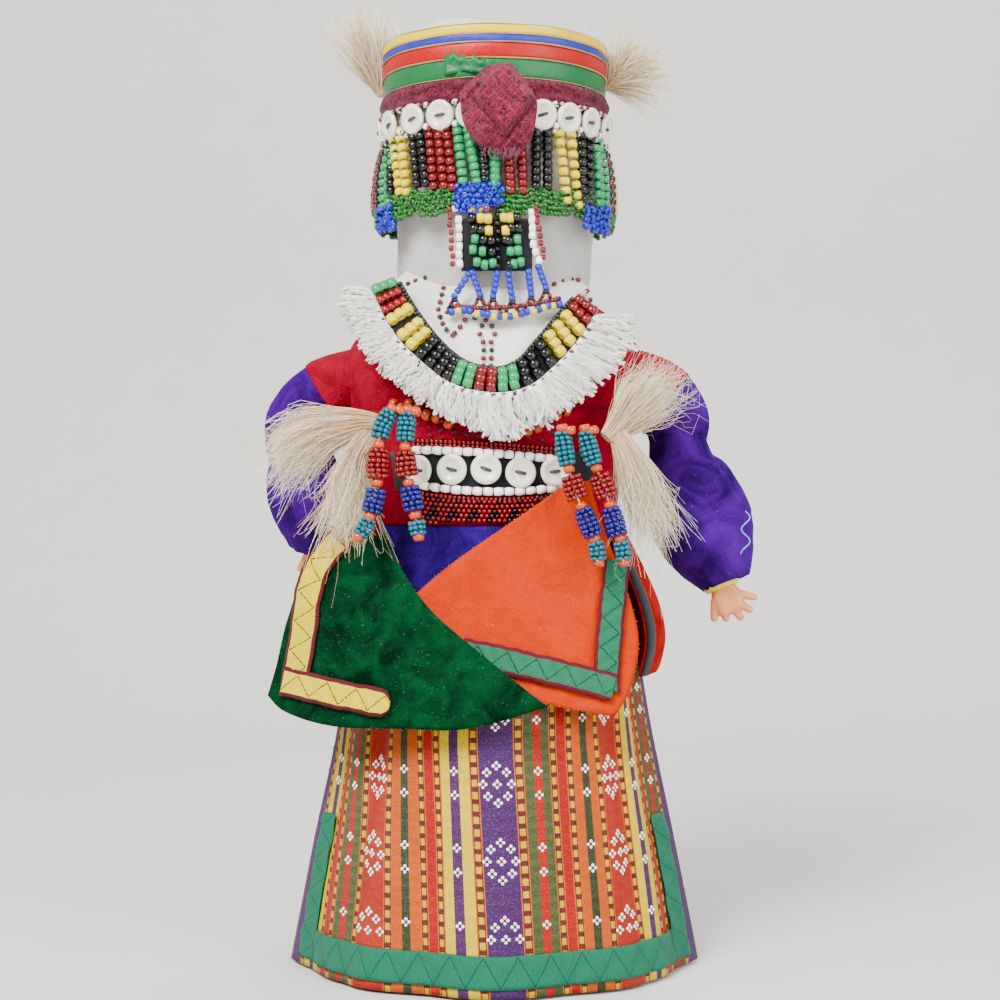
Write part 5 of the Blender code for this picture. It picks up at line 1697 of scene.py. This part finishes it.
def make_knot():
    outline = ((511, 63), (487, 67), (475, 78), (461, 91), (460.5, 106), (464, 125), (475, 143), (487, 149),
               (506, 156), (520, 154), (532, 138), (537, 112), (536, 98), (527, 82), (518, 71), (511, 63))
    edge = along([at(u, v, -46.5) for u, v in outline], 121)[:-1]
    middle = at(500, 106, -46.5)
    back = -45.3
    rings = []
    shares = [(0.3, -4.9), (0.7, -4.7), (0.9, -1.8), (0.97, 1.0), (1.0, 2.4)]
    shares += [(1 - 0.94 * (k / 18) ** 1.1, 2.4 + 5.6 * sin(pi / 2 * min(k / 11, 1))) for k in range(1, 19)]
    for share, ahead in shares:
        ring = []
        for point in edge:
            place = middle.lerp(point, share)
            inside = min(max(ahead, 0) / 5, 1)
            crease = 1.5 * bell(((place.x - 0.6) * 0.55 - (place.z - 283) * 0.15) / 0.9) * (
                place.z < 292) * min((292 - place.z) / 6, 1)
            from_middle = abs(place.x - 3.7) / 9.6 + abs(place.z - 295.5) / 12.6
            plateau = 1.7 * min(max((1.08 - from_middle) / 0.2, 0), 1)
            groove = 1.9 * bell((from_middle - 1.16) / 0.09) * (place.z < 299)
            lump = plateau - groove + 0.8 * ripple(place.x / 4.2,
                                                   place.z / 5) + 0.25 * ripple(place.x, place.z * 0.8)
            place.y = back - max(ahead + inside * (lump - 0.4 * crease), min(ahead, 0))
            ring.append(place)
        rings.append(ring)
    mesh = outward_mesh(loft("knot", rings))
    for loop in mesh.loops:
        place = mesh.vertices[loop.vertex_index].co
        mesh.uv_layers[0].data[loop.index].uv = (place.x + place.z, place.x - place.z)
    mesh.materials.append(KNOT_CLOTH)
    source = random.Random(31)
    threads = []
    for _ in range(60):
        start = at(source.uniform(484, 520), source.uniform(146, 153), -49 - source.uniform(0, 2))
        way = Vector((source.uniform(-0.5, 0.5), source.uniform(-0.4, 0), -1)) * source.uniform(1.2, 3.2)
        threads.append(([start, start + way * 0.5, start + way + Vector((source.uniform(-0.5, 0.5), 0, 0))],
                        [0.12, 0.1, 0.05], tone(120, 32, 64)))
    hairs = strands_mesh("knot_frays", threads, 4, THREAD)
    add_joined("headband_knot_crepe", [mesh, hairs], "burgundy_cloth", "headband_knot")


def make_head_buttons():
    parts = []
    for n in range(13):
        angle = radians(BUTTON_TURNS[n])
        way = Vector((sin(angle), -cos(angle), -sin(radians(8)))).normalized()
        middle = around(angle, 39.4 + 1.0, 39.4 + 1.0, HEAD_BUTTON_Z)
        parts += button_parts(middle, way, f"head_{n}", thread_turn=(14, 8, 20, 12, 5)[n % 5])
    rows = []
    for n in range(13):
        angle = radians((BUTTON_TURNS[n] + (BUTTON_TURNS[n + 1] if n < 12 else 118)) / 2)
        for z, size in ((288.6, 2.4), (296.0, 2.2)):
            place = around(angle, 40.9, 40.9, z)
            rows.append((place, Vector((cos(angle), sin(angle), 0)), size, 1.9, WHITE))
    for n in range(150):
        angle = 2 * pi * n / 150
        rows.append((around(angle, 41.9, 41.9, 295.9 + 0.3 * sin(n)), Vector((cos(angle), sin(angle), 0)),
                     1.4, 1.2,
                     tone(70, 14, 34) if n % 2 else tone(232, 170, 180)))
    for n in range(74):
        angle = (n - 36.5) * 0.047
        rows.append((around(angle, 39.9, 39.9, 287.0), Vector((cos(angle), sin(angle), 0)), 1.7, 1.4,
                     tone(58, 14, 44) if n % 3 else WHITE))
    parts.append(beads_mesh("head_button_beads", rows, SEEDS, seed=6))
    add_joined("head_buttons", parts, "pearl",
              *[f"head_button_{n + 1:02d}" for n in range(13)])


def make_curtain():
    rows, seeds = [], []

    def centre(z):
        return curtain_lift(z) + 1.4

    for u, v, w, x, kind in CURTAIN_STRANDS:
        for i in range(8):
            share = i / 7
            place = on_head(u + (w - u) * share, v + (x - v) * share, centre)
            following = on_head(u + (w - u) * (share + 0.1), v + (x - v) * (share + 0.1), centre)
            tint = GLASS_COLOURS.get(kind) or (DARK_RED if i % 3 == 1 else BLACK_GLASS)
            rows.append((place, (following - place).normalized(), 3.9, 2.75, tint))
    order = ("teal", "teal", "mixed", "black", "yellow", "yellow", "black", "red", "red", "black")
    for n in range(42):
        angle = radians(59.5 + 241 * n / 41)
        for i in range(8):
            z = 283.6 - 2.75 * i + 0.5 * sin(n * 1.7)
            radius = head_radius(z) + centre(z)
            rows.append((around(angle, radius, radius, z), Vector((0, 0, 1)), 3.9, 2.75,
                         GLASS_COLOURS.get(order[n % len(order)]) or (DARK_RED if i % 3 == 1
                                                                      else BLACK_GLASS)))
    loose = random.Random(23)
    for n in range(240):
        angle = 2 * pi * n / 240 + loose.uniform(-0.008, 0.008)
        turned = (angle + pi) % (2 * pi) - pi
        scallop = abs(sin(angle * 9))
        for j in range(5):
            z = 266.5 - 1.75 * j - 1.2 * scallop - (2.2 * (abs(turned) > 1.0))
            radius = head_radius(z) + centre(z) - 0.3 + loose.uniform(-0.3, 0.9)
            if z < CURTAIN_LOW + 0.5 or (j > 3 and scallop < 0.35):
                continue
            tilt = loose.uniform(-2.2, 2.2)
            z += loose.uniform(-0.5, 0.5)
            blue = (abs(turned) > 1.02 and abs(turned) < 1.28 and j > 1) or (-0.33 < turned < 0.03)
            tint = BLUE_GLASS if blue else LACE_GREEN
            size = 2.3 if blue else 2.0
            seeds.append((around(angle + 0.006 * (j % 2), radius, radius, z),
                          Vector((cos(angle), sin(angle), tilt)),
                          size, 1.7, tint))
    cluster = random.Random(17)
    for first, final, count in ((-71, -54, 46), (47, 71, 60)):
        for _ in range(count):
            angle, z = radians(cluster.uniform(first, final)), cluster.uniform(254.5, 263.5)
            radius = head_radius(z) + centre(z) + cluster.uniform(0.2, 1.6)
            seeds.append((around(angle, radius, radius, z), loose_way(cluster), 2.5, 2.0, BLUE_GLASS))
    for k in range(55):
        row, column = divmod(k, 7)
        u = 457 + (column + 0.5 * (row % 2)) * 48 / 7 + cluster.uniform(-1, 1)
        v = 185 + row * 5.4 + cluster.uniform(-1, 1)
        if v > 207:
            break
        place = on_head(u, v, lambda z: centre(z) + 0.9 + 0.5 * sin(u * 3 + v))
        seeds.append((place, loose_way(cluster, 0.2, -0.8), 2.35, 1.9, BLUE_GLASS))
    beads = beads_mesh("curtain_beads", rows, BEADS, seed=5)
    lace = beads_mesh("curtain_lace", seeds, SEEDS, seed=7, wobble=0.9)
    add_joined("curtain_strands", [beads, lace], "glass_beads", "bead_curtain")


def strip_depth(x):
    return -(head_radius(STRIP_LOW) + 7.8) + 0.008 * (x - STRIP_MIDDLE) ** 2


def on_strip(u, v, ahead=0.0):
    y = -42.0
    for _ in range(3):
        y = strip_depth(at(u, v, y).x) - ahead
    return at(u, v, y)


STRIP_BEADS = (
    ("yellow", ((472, 208), (480.6, 207), (480.6, 218), (488, 218.6), (488.7, 230.7), (503.8, 217.4),
                (510, 217.8),
                (505.5, 230.7))),
    ("red", ((487, 209),)),
    ("black", ((472, 218), (474, 229), (481, 230), (483.5, 240), (491.4, 241), (492, 252), (516.7, 217.4),
               (511.7, 228), (518, 228), (505.5, 240), (509, 241), (509.6, 264.7))),
    ("teal", ((475, 239), (473, 249.7), (482.7, 251.4), (477, 262), (485, 264.7), (493, 263), (517.5, 239.4),
              (510.5, 251.4), (518, 250.6), (513.8, 263.8), (521, 262))))
WHITE_COLUMNS = (((455.7, 207.5), (458.6, 220), (459, 228), (459.2, 237), (459.5, 246.4), (459, 254.7),
                  (459.7, 263.8)),
                 ((531.2, 212.8), (532, 220), (532.4, 227.8), (532.4, 235.6), (533.3, 244.3), (535.7, 252.2),
                  (539, 260.5)))
BLUE_STRANDS = ((468.2, 274.6, 454.5, 296.2), (472.3, 273, 479.8, 294.5), (497.2, 273.8, 493, 296.2),
                (508.4, 274.6, 512.1, 298.6), (528.7, 272.1, 531.2, 294.5), (538.6, 267.1, 546.1, 287.9))
LOW_ROW = ((451.6, 311.9), (459, 311), (464.5, 309.8), (469.8, 311), (477, 314), (483, 313.6),
           (487.7, 314.4),
           (494, 316.5), (499.7, 316.5), (505, 316.5), (510, 316.5), (515, 315), (522, 313.6), (527, 312),
           (534, 312),
           (538.6, 309), (543.6, 307.8), (548, 305.7), (553, 306), (559.4, 304.5))
LOW_ROW_COLOURS = "bybbybbybybybbybybyb"


def make_face_strip():
    grid = []
    for r in range(15):
        z = STRIP_LOW + (STRIP_HIGH - STRIP_LOW) * r / 14
        line = []
        for c in range(19):
            x = STRIP_MIDDLE + STRIP_HALF * 0.92 * (2 * c / 18 - 1)
            line.append(Vector((x, strip_depth(x) + 0.9 + 0.12 * ripple(c, r), z)))
        grid.append(line)
    cloth = shell("strip_cloth", grid, 1.3)
    cloth.materials.append(BLACK_CLOTH)
    rows, seeds = [], []
    down = Vector((0, 0, 1))
    for kind, places in STRIP_BEADS:
        for u, v in places:
            rows.append((on_strip(u, v, -0.1), Vector((1, 0, 0)), 3.7, 2.9, GLASS_COLOURS[kind]))
    for column in WHITE_COLUMNS:
        for u, v in column:
            rows.append((on_strip(u, v, -0.2), down, 2.5, 2.9, WHITE))
    for u, v, w, x in ((449.5, 209, 452.8, 264), (535.5, 208, 543.6, 257), (497.5, 206, 498, 266)):
        for i in range(8):
            place = on_strip(u + (w - u) * i / 7 + 0.7 * sin(i * 2.3), v + (x - v) * i / 7, 0.1)
            seeds.append((place, down, 2.1, 1.9, RED_SEED if u != 497.5 else BLACK_GLASS))
    parts = [cloth, beads_mesh("strip_large", rows, BEADS, seed=8),
             beads_mesh("strip_seeds", seeds, SEEDS, seed=9)]
    add_joined("face_strip_beads", parts, "glass_beads", "face_strip")

    rows, seeds = [], []
    for u, v, w, x in BLUE_STRANDS:
        line = [on_strip(u + (w - u) * i / 4, v + (x - v) * i / 4, 0.2 + 0.3 * i) for i in range(5)]
        strung(rows, line, 2.5, 2.2, BLUE_GLASS)
        for leg in (-1, 1):
            for k in range(4):
                place = on_strip(w + leg * (1.5 + 2.0 * k), x + 4 + 4.0 * k, 1.8)
                seeds.append((place, Vector((leg * 0.5, 0, -1)), 1.7, 1.5,
                              DARK_RED if k % 2 else BLACK_GLASS))
    for i in range(34):
        u = 452 + 107 * i / 33
        v = 304 + 6 * (1 - ((u - 500) / 58) ** 2) - 0.05 * (u - 452)
        seeds.append((on_strip(u, v, 2.2), Vector((1, 0, 0.3)), 1.8, 1.5,
                      RED_SEED if i % 3 else BLACK_GLASS))
    line = [on_strip(u, v, 2.4) for u, v in LOW_ROW]
    strung(rows, line, 2.9, 2.1, [BLUE_GLASS if c == "b" else YELLOW_GLASS for c in LOW_ROW_COLOURS])
    parts = [beads_mesh("strip_fringe_large", rows, BEADS, seed=10),
             beads_mesh("strip_fringe_seeds", seeds, SEEDS, seed=11, wobble=0.3)]
    add_joined("face_strip_fringe_beads", parts, "glass_beads",
              "face_strip_fringe")


def collar_curves(count):
    return [along(placed(curve, COLLAR_DEPTH, COLLAR_Z), count) for curve in (NECK, INNER, OUTER, FRINGE)]


def on_surface(grid, u, v, out):
    """The point over a grid that the photograph shows at u and v."""
    best, found = 1e9, None
    for r, row in enumerate(grid):
        for c, point in enumerate(row):
            w, x = pixel_of(point)
            distance = (w - u) ** 2 + (x - v) ** 2
            if distance < best:
                best, found = distance, (r, c)
    r, c = found
    place = grid[r][c] + outward(grid, r, c) * out
    return at(u, v, place.y)


def bib_grid():
    neck, inner, outer, _ = collar_curves(61)
    grid = []
    for c in range(61):
        middle = neck[c].lerp(inner[c], 0.5) + Vector((0, -0.6, 0))
        tuck = Vector((neck[c].x * 0.86, neck[c].y * 0.86, neck[c].z + 5.5))
        grid.append(along([outer[c], inner[c], middle, neck[c], tuck], 20))
    rows = [[grid[c][r] for c in range(61)] for r in range(20)]
    return lifted(rows, lambda r, c: 0.35 * ripple(c / 4, r / 3) * min(r / 5, 1))


COLLAR_COLUMNS = ((381, "teal"), (386, "red"), (391, "red"), (396, "red"), (401, "yellow"),
                  (411.5, "yellow"),
                  (419.7, "yellow"), (428, "black"), (436, "black"), (444, "black"), (452, "black"),
                  (460, "teal"), (470, "teal"), (481, "ruby"), (492, "ruby"), (503, "teal"), (513.5, "teal"),
                  (524, "black"), (534, "black"), (544, "black"), (554, "yellow"), (562.7, "yellow"),
                  (571, "yellow"), (578, "ruby"), (584, "ruby"))
COLLAR_COLOURS = {"teal": TEAL_GLASS, "red": RED_SEED, "ruby": DARK_RED, "yellow": YELLOW_GLASS,
                  "black": BLACK_GLASS}
BIB_LINES = (
    ((487, 342), (487, 350), (488, 358), (487, 366)),
    ((453, 276), (448, 282), (442, 292), (440, 301), (439, 311), (440, 319), (446, 328), (452, 335)),
    ((474, 318), (467, 319), (460, 327), (454, 333)),
    ((408, 284), (416, 281), (424, 278), (433, 276), (443, 275)),
    ((555, 284), (561, 281), (569, 279), (579, 280)),
    ((588, 291), (590, 299), (585, 307), (577, 313)),
    ((480, 334), (481, 326), (486, 320), (492, 326), (494, 334)))


def make_collar():
    bib = bib_grid()
    piece = add_piece("bib_cloth", shell("bib_cloth", bib, 0.7), WHITE_CLOTH, "white_cloth", "bib")
    _, inner, outer, ends = collar_curves(241)
    rows, seeds = [], []
    for u, kind in COLLAR_COLUMNS:
        c = min(range(241), key=lambda k: abs(pixel_of(inner[k].lerp(outer[k], 0.5))[0] - u))
        small = kind == "red"
        count = 4 if small else 3
        ahead = (outer[min(c + 3, 240)] - outer[max(c - 3, 0)]).normalized()
        radial = (outer[c] - inner[c]).normalized()
        facing = radial.cross(ahead).normalized() * -1
        if facing.y > 0:
            facing = -facing
        for k in range(count):
            share = (k + 0.5) / count
            place = inner[c].lerp(outer[c], share * 0.98) + facing * 2.2
            rows.append((place, ahead, 3.2 if small else 4.1, 3.0 if small else 3.7, COLLAR_COLOURS[kind]))
    for i in range(62):
        c = int(240 * (i + 0.5) / 62)
        ahead = (outer[min(c + 3, 240)] - outer[max(c - 3, 0)]).normalized()
        radial = (outer[c] - inner[c]).normalized()
        place = outer[c] + Vector((0, -2.3, 0)) + radial * 1.4
        if i % 2:
            seeds.append((place, ahead, 2.5, 1.9, WHITE))
        else:
            seeds.append((place, ahead, 2.0, 1.5, BLACK_GLASS if i % 4 else DARK_RED))
        place = inner[c] + Vector((0, -2.0, 0)) - radial * 0.9
        seeds.append((place, ahead, 1.9, 1.6, tone(14, 52, 30) if i % 2 else BLACK_GLASS))
    base = shell("collar_ground", [[p + Vector((0, -1.0, 0)) for p in outer[::6]],
                                   [inner[c].lerp(outer[c],
                                                  0.5) + Vector((0, -1.1, 0)) for c in range(0, 241, 6)],
                                   [p + Vector((0, -1.0, 0)) for p in inner[::6]]], 0.6)
    base.materials.append(BLACK_CLOTH)
    parts = [base, beads_mesh("collar_large", rows, BEADS, seed=12),
             beads_mesh("collar_seeds", seeds, SEEDS, seed=13)]
    add_joined("collar_bead_blocks", parts, "glass_beads", "collar_beads")
    seeds = []
    tints = (DARK_RED, DARK_RED, tone(16, 60, 36), BLACK_GLASS, RED_SEED)
    for n, line in enumerate(BIB_LINES):
        path = along([(u, v, 0) for u, v in line],
                     max(int(curve_length([Vector((*p, 0)) for p in line]) / 6.4), 4))
        for i, spot in enumerate(path):
            for k in range(1 if n else 2):
                wander = 0.8 * sin(i * 2.1 + n)
                place = on_surface(bib, spot.x + wander + (0 if n else k * 8 - 4), spot.y, 0.9)
                seeds.append((place, Vector((1, 0, 0.4 * sin(i * 3.0))), 1.85, 1.6,
                              tints[(i * 2 + k + n) % 5]))
    mesh = beads_mesh("bib_seed_lines", seeds, SEEDS, seed=14, wobble=0.4)
    lines = add_piece("bib_seed_lines", mesh, None, "glass_beads")
    return ends, outer


def make_collar_fringe(ends, outer):
    """Cut ends of two-ply yarn, three layers deep, fanned out from the collar's edge."""
    source = random.Random(23)
    runs = []
    last = 240
    for i in range(720):
        c = source.uniform(0, last)
        a = min(int(c), last - 1)
        root = outer[a].lerp(outer[a + 1], c - a)
        wander = min(max(c + source.uniform(-5, 5), 0), last)
        b = min(int(wander), last - 1)
        tip = ends[b].lerp(ends[b + 1], wander - b)
        layer = i % 3
        reach = source.uniform(0.8, 1.02) * (0.9 if layer == 2 else 1)
        start = root.lerp(tip, 0.03) + Vector((0, -0.4 - 0.8 * layer, 0))
        finish = root.lerp(tip, reach) + Vector((source.gauss(0, 1.1), 0.9 - 1.2 * layer,
                                                 source.gauss(0, 0.9)))
        sway = 1.7 * sin(c * 0.16 + layer)
        middle = start.lerp(finish, 0.5) + Vector((source.gauss(sway, 1.1), -1.7, source.gauss(0, 0.9)))
        line = along([start, middle, finish], 9)
        ahead = (finish - start).normalized()
        side = ahead.cross(Vector((0, -1, 0))).normalized()
        deep = ahead.cross(side)
        shade = source.uniform(0.74, 0.95)
        tint = tone(246 * shade, 240 * shade, 230 * shade)
        turn = source.uniform(0, 6)
        for ply in (0, pi):
            twisted = [p + side * 0.33 * cos(turn + ply + k * 1.6) + deep * 0.33 * sin(turn + ply + k * 1.6)
                       for k, p in enumerate(line)]
            spread = [0.48] * 7 + [0.54, 0.46]
            twisted[-1] += (side * cos(turn + ply) + deep * 0.4) * 0.5
            runs.append((twisted, spread, tint))
    mat = [[ends[c].lerp(outer[c], 0.16) + Vector((0, 1.6, 0)) for c in range(0, 241, 4)],
           [ends[c].lerp(outer[c], 0.6) + Vector((0, 1.0, 0)) for c in range(0, 241, 4)],
           [ends[c].lerp(outer[c], 0.9) + Vector((0, 0.7, 0)) for c in range(0, 241, 4)]]
    ground = shell("fringe_ground", mat, 1.0)
    ground.materials.append(WHITE_CLOTH)
    yarn = strands_mesh("fringe_yarn", runs, 4, YARN)
    add_joined("collar_yarn_fringe", [ground, yarn], "white_yarn", "collar_fringe")


STRING_COLOURS = ((0.035, ORANGE_GLASS), (0.255, SEA_GLASS), (0.325, ORANGE_GLASS), (0.535, RED_SEED),
                  (0.605, ORANGE_GLASS), (0.79, NAVY_GLASS), (0.85, ORANGE_GLASS), (0.965, SEA_GLASS),
                  (1.01, ORANGE_GLASS))


def make_strings():
    for n, (name, line) in enumerate(STRINGS.items()):
        path = along(placed(line, STRING_DEPTH, COLLAR_Z), 200)
        reach = curve_length(path)
        small, large = [], []
        steps = int(reach / 1.62)
        for i in range(steps + 1):
            share = i / steps
            place = path[min(int(share * 199), 199)]
            ahead = (path[min(int(share * 199) + 2, 199)] - path[max(int(share * 199) - 2, 0)]).normalized()
            tint = next(colour for edge, colour in STRING_COLOURS if share <= edge)
            radius = smooth_value(STRING_PROFILE, share)
            if tint is ORANGE_GLASS:
                continue
            side = ahead.cross(Vector((0, 1, 0))).normalized()
            deep = ahead.cross(side)
            ring = max(radius - 0.85, 0.4)
            count = max(int(2 * pi * ring / 1.8), 3)
            for k in range(count):
                turn = 2 * pi * k / count + 0.12 * sin(i * 1.7)
                spot = place + side * ring * cos(turn) + deep * ring * 0.85 * sin(turn)
                small.append((spot, ahead, 1.95, 1.6, tint))
        for share in (0.0, 0.292, 0.572, 0.823, 0.992):
            spot = path[int(share * 199)]
            ahead = (path[min(int(share * 199) + 2, 199)] - path[max(int(share * 199) - 2, 0)]).normalized()
            large.append((spot, ahead, 4.1, 3.1, ORANGE_GLASS))
            if share == 0.0:
                large.append((spot + Vector((2.6, -0.6, -0.6)), ahead, 4.0, 3.0, ORANGE_GLASS))
        thread = strands_mesh("string_thread", [(path[::10], 0.35, tone(225, 215, 190))], 5, THREAD)
        parts = [beads_mesh("string_seeds", small, SEEDS, seed=20 + n, wobble=0.2),
                 beads_mesh("string_large", large, BEADS, seed=30 + n), thread]
        add_joined(f"bead_string_{name}_beads", parts, "glass_beads",
                  f"bead_string_{name}")


def hair_runs(points, count, seed, stray=0.06, spread=1.0):
    """Strands of one brush of hair, fanning out from its root."""
    source = random.Random(seed)
    steps = 9
    spine = along([p[:3] for p in points], steps)
    sizes = along([(p[3], 0, 0) for p in points], steps)
    runs = []
    for _ in range(count):
        turn, reach = source.uniform(0, 2 * pi), sqrt(source.uniform(0.02, 1.0))
        wild = source.random() < stray
        length = source.uniform(0.62, 1.0) if not wild else source.uniform(0.9, 1.12)
        bend = Vector((source.gauss(0, 1), source.gauss(0, 0.6),
                       source.gauss(0, 1))) * (5.5 if wild else 2.8)
        curl = source.uniform(0, 6)
        frizz = abs(source.gauss(0, 1.8)) * (1.8 if wild else 1)
        path = []
        for k in range(steps):
            t = k / (steps - 1) * length
            place = min(t, 1) * (steps - 1)
            i = min(int(place), steps - 2)
            middle = spine[i].lerp(spine[i + 1], place - i)
            if t > 1:
                middle = middle + (spine[-1] - spine[-2]) * (t - 1) * (steps - 1)
            size = sizes[i].lerp(sizes[i + 1], place - i).x * spread * 1.15
            ahead = (spine[i + 1] - spine[i]).normalized()
            across = ahead.cross(Vector((0, 1, 0)))
            across = across.normalized() if across.length > 0.1 else Vector((0, 0, 1))
            deep = ahead.cross(across).normalized()
            offset = across * cos(turn) * reach * size + deep * sin(turn) * reach * size * 0.6
            wave = Vector((sin(curl + t * 8), cos(curl + t * 5), sin(curl * 2 + t * 11))) * frizz * t * t
            path.append(middle + offset + bend * t * t + wave)
        tints = hair_tints(source, steps)
        thick = source.uniform(0.08, 0.14)
        runs.append((path, [thick * (1 - 0.65 * k / (steps - 1)) for k in range(steps)], tints))
    return runs


def hair_tints(source, steps):
    shade = source.uniform(0.78, 1.05)
    brown = source.random() < 0.22
    root = tone(*[min(c * shade, 255) for c in ((218, 150, 88) if brown else (246, 206, 150))])
    tip = tone(*[min(c * min(shade * 1.15, 1.06), 255) for c in ((226, 180, 124) if brown else (255, 240,
                                                                                                206))])
    return [tuple(a + (b - a) * k / (steps - 1) for a, b in zip(root, tip)) for k in range(steps)]


def fan_runs(root, middle, half, reach, count, seed):
    """A bound tuft that opens into a wide fan, its tips curling."""
    source = random.Random(seed)
    steps = 9
    runs = []
    for _ in range(count):
        angle = radians(middle + half * max(min(source.gauss(0, 0.48), 1.15), -1.15))
        lean = source.gauss(0, 0.22)
        ahead = Vector((sin(angle), lean, cos(angle))).normalized()
        length = source.uniform(*reach) * source.choice((1, 1, 1, 0.85, 0.65))
        side = Vector((cos(angle), 0, -sin(angle)))
        bow = source.gauss(0, 2.4)
        curl, turn = abs(source.gauss(0, 1.7)), source.uniform(0, 6)
        start = root + Vector((source.uniform(-1, 1), source.uniform(-1, 1), source.uniform(-1, 1)))
        path = []
        for k in range(steps):
            t = k / (steps - 1)
            place = start + ahead * length * t + side * bow * t * t - Vector((0, 0, 1.6 * t**3))
            place += (side * cos(turn + t * 9) + Vector((0, 1, 0)) * sin(turn + t * 8)) * curl * t * t
            path.append(place)
        thick = source.uniform(0.09, 0.15)
        runs.append((path, [thick * (1 - 0.6 * k / (steps - 1)) for k in range(steps)],
                     hair_tints(source, steps)))
    return runs


def make_tufts():
    for name, (root, middle, half, reach) in HAT_TUFTS.items():
        runs = fan_runs(Vector(root), middle, half, reach, 1050, 40 + len(name))
        mesh = strands_mesh(f"hat_tuft_{name}_hair", runs, 3, HAIR)
        add_piece(f"hat_tuft_{name}_hair", mesh, None, "goat_hair", f"hat_tuft_{name}")
    for name, brushes in CHEST_TUFTS.items():
        runs = []
        for n, points in enumerate(brushes):
            line = placed(points, STRING_DEPTH, COLLAR_Z)
            runs += hair_runs(line, 860, 50 + n + len(name), 0.42)
        mesh = strands_mesh(f"chest_tuft_{name}_hair", runs, 3, HAIR)
        add_piece(f"chest_tuft_{name}_hair", mesh, None, "goat_hair", f"chest_tuft_{name}")


def make_studio():
    """Pale floor with a curved sweep behind, soft lights, a pale room and the photograph's camera."""
    profile = [(-1.2, 0.0), (0.0, 0.0), (0.55, 0.0)]
    profile += [(0.55 + 0.35 * sin(pi / 2 * k / 10), 0.35 * (1 - cos(pi / 2 * k / 10))) for k in range(1,
                                                                                                       11)]
    profile += [(0.9, 1.6)]
    points, faces = [], []
    for y, z in profile:
        for x in (-2.2, 2.2):
            points.append(Vector((x, y, z)) / MM)
    for i in range(len(profile) - 1):
        faces.append((2 * i, 2 * i + 1, 2 * i + 3, 2 * i + 2))
    mesh = mesh_of("studio_floor", points, faces)
    ground, tree, sockets, place = start_material("pale_paper", 0.9)
    paper = placed_group(tree, GRAIN, Vector=place["Object"], Scale=35.0, Color=tone(205, 204, 202),
                         Spread=0.08)
    tree.links.new(paper["Color"], sockets["Base Color"])
    bumped(tree, sockets, paper["Height"], 0.05)
    mesh.materials.append(ground)
    floor = bpy.data.objects.new("studio_floor", mesh)
    bpy.context.scene.collection.objects.link(floor)

    aim = Vector((0, 0, 0.16))
    for name, place, size, watts in (("key_light", (-0.5, -0.85, 1.0), 0.6, 42.0),
                                     ("fill_light", (0.85, -0.8, 0.6), 0.9, 17.0),
                                     ("rim_light", (0.3, 0.75, 1.1), 0.6, 11.0)):
        data = bpy.data.lights.new(name, "AREA")
        data.energy = watts
        data.size = size
        light = bpy.data.objects.new(name, data)
        light.location = place
        light.rotation_euler = (aim - Vector(place)).to_track_quat("-Z", "Y").to_euler()
        bpy.context.scene.collection.objects.link(light)

    world = bpy.data.worlds.new("pale_room")
    world.use_nodes = True
    background = world.node_tree.nodes["Background"]
    background.inputs["Color"].default_value = (1.0, 0.97, 0.93, 1)
    background.inputs["Strength"].default_value = 0.78
    bpy.context.scene.world = world

    data = bpy.data.cameras.new("camera")
    data.sensor_width = 36
    data.lens = 66.5
    camera = bpy.data.objects.new("camera", data)
    camera.location = (CAMERA_ASIDE * MM, -CAMERA_AWAY * MM, CAMERA_HEIGHT * MM)
    camera.rotation_euler = (radians(90), 0, 0)
    bpy.context.scene.collection.objects.link(camera)
    bpy.context.scene.camera = camera


make_studio()
make_skirt()
apron = make_apron()
border = make_apron_border()
make_jacket()
make_chest_beads()
make_chest_buttons()
make_flaps()
make_arm(1, SLEEVE_RIGHT, "right")
make_arm(-1, SLEEVE_LEFT, "left")
make_veil()
make_hat()
make_headband()
make_knot()
make_head_buttons()
make_curtain()
make_face_strip()
make_collar_fringe(*make_collar())
make_strings()
make_tufts()
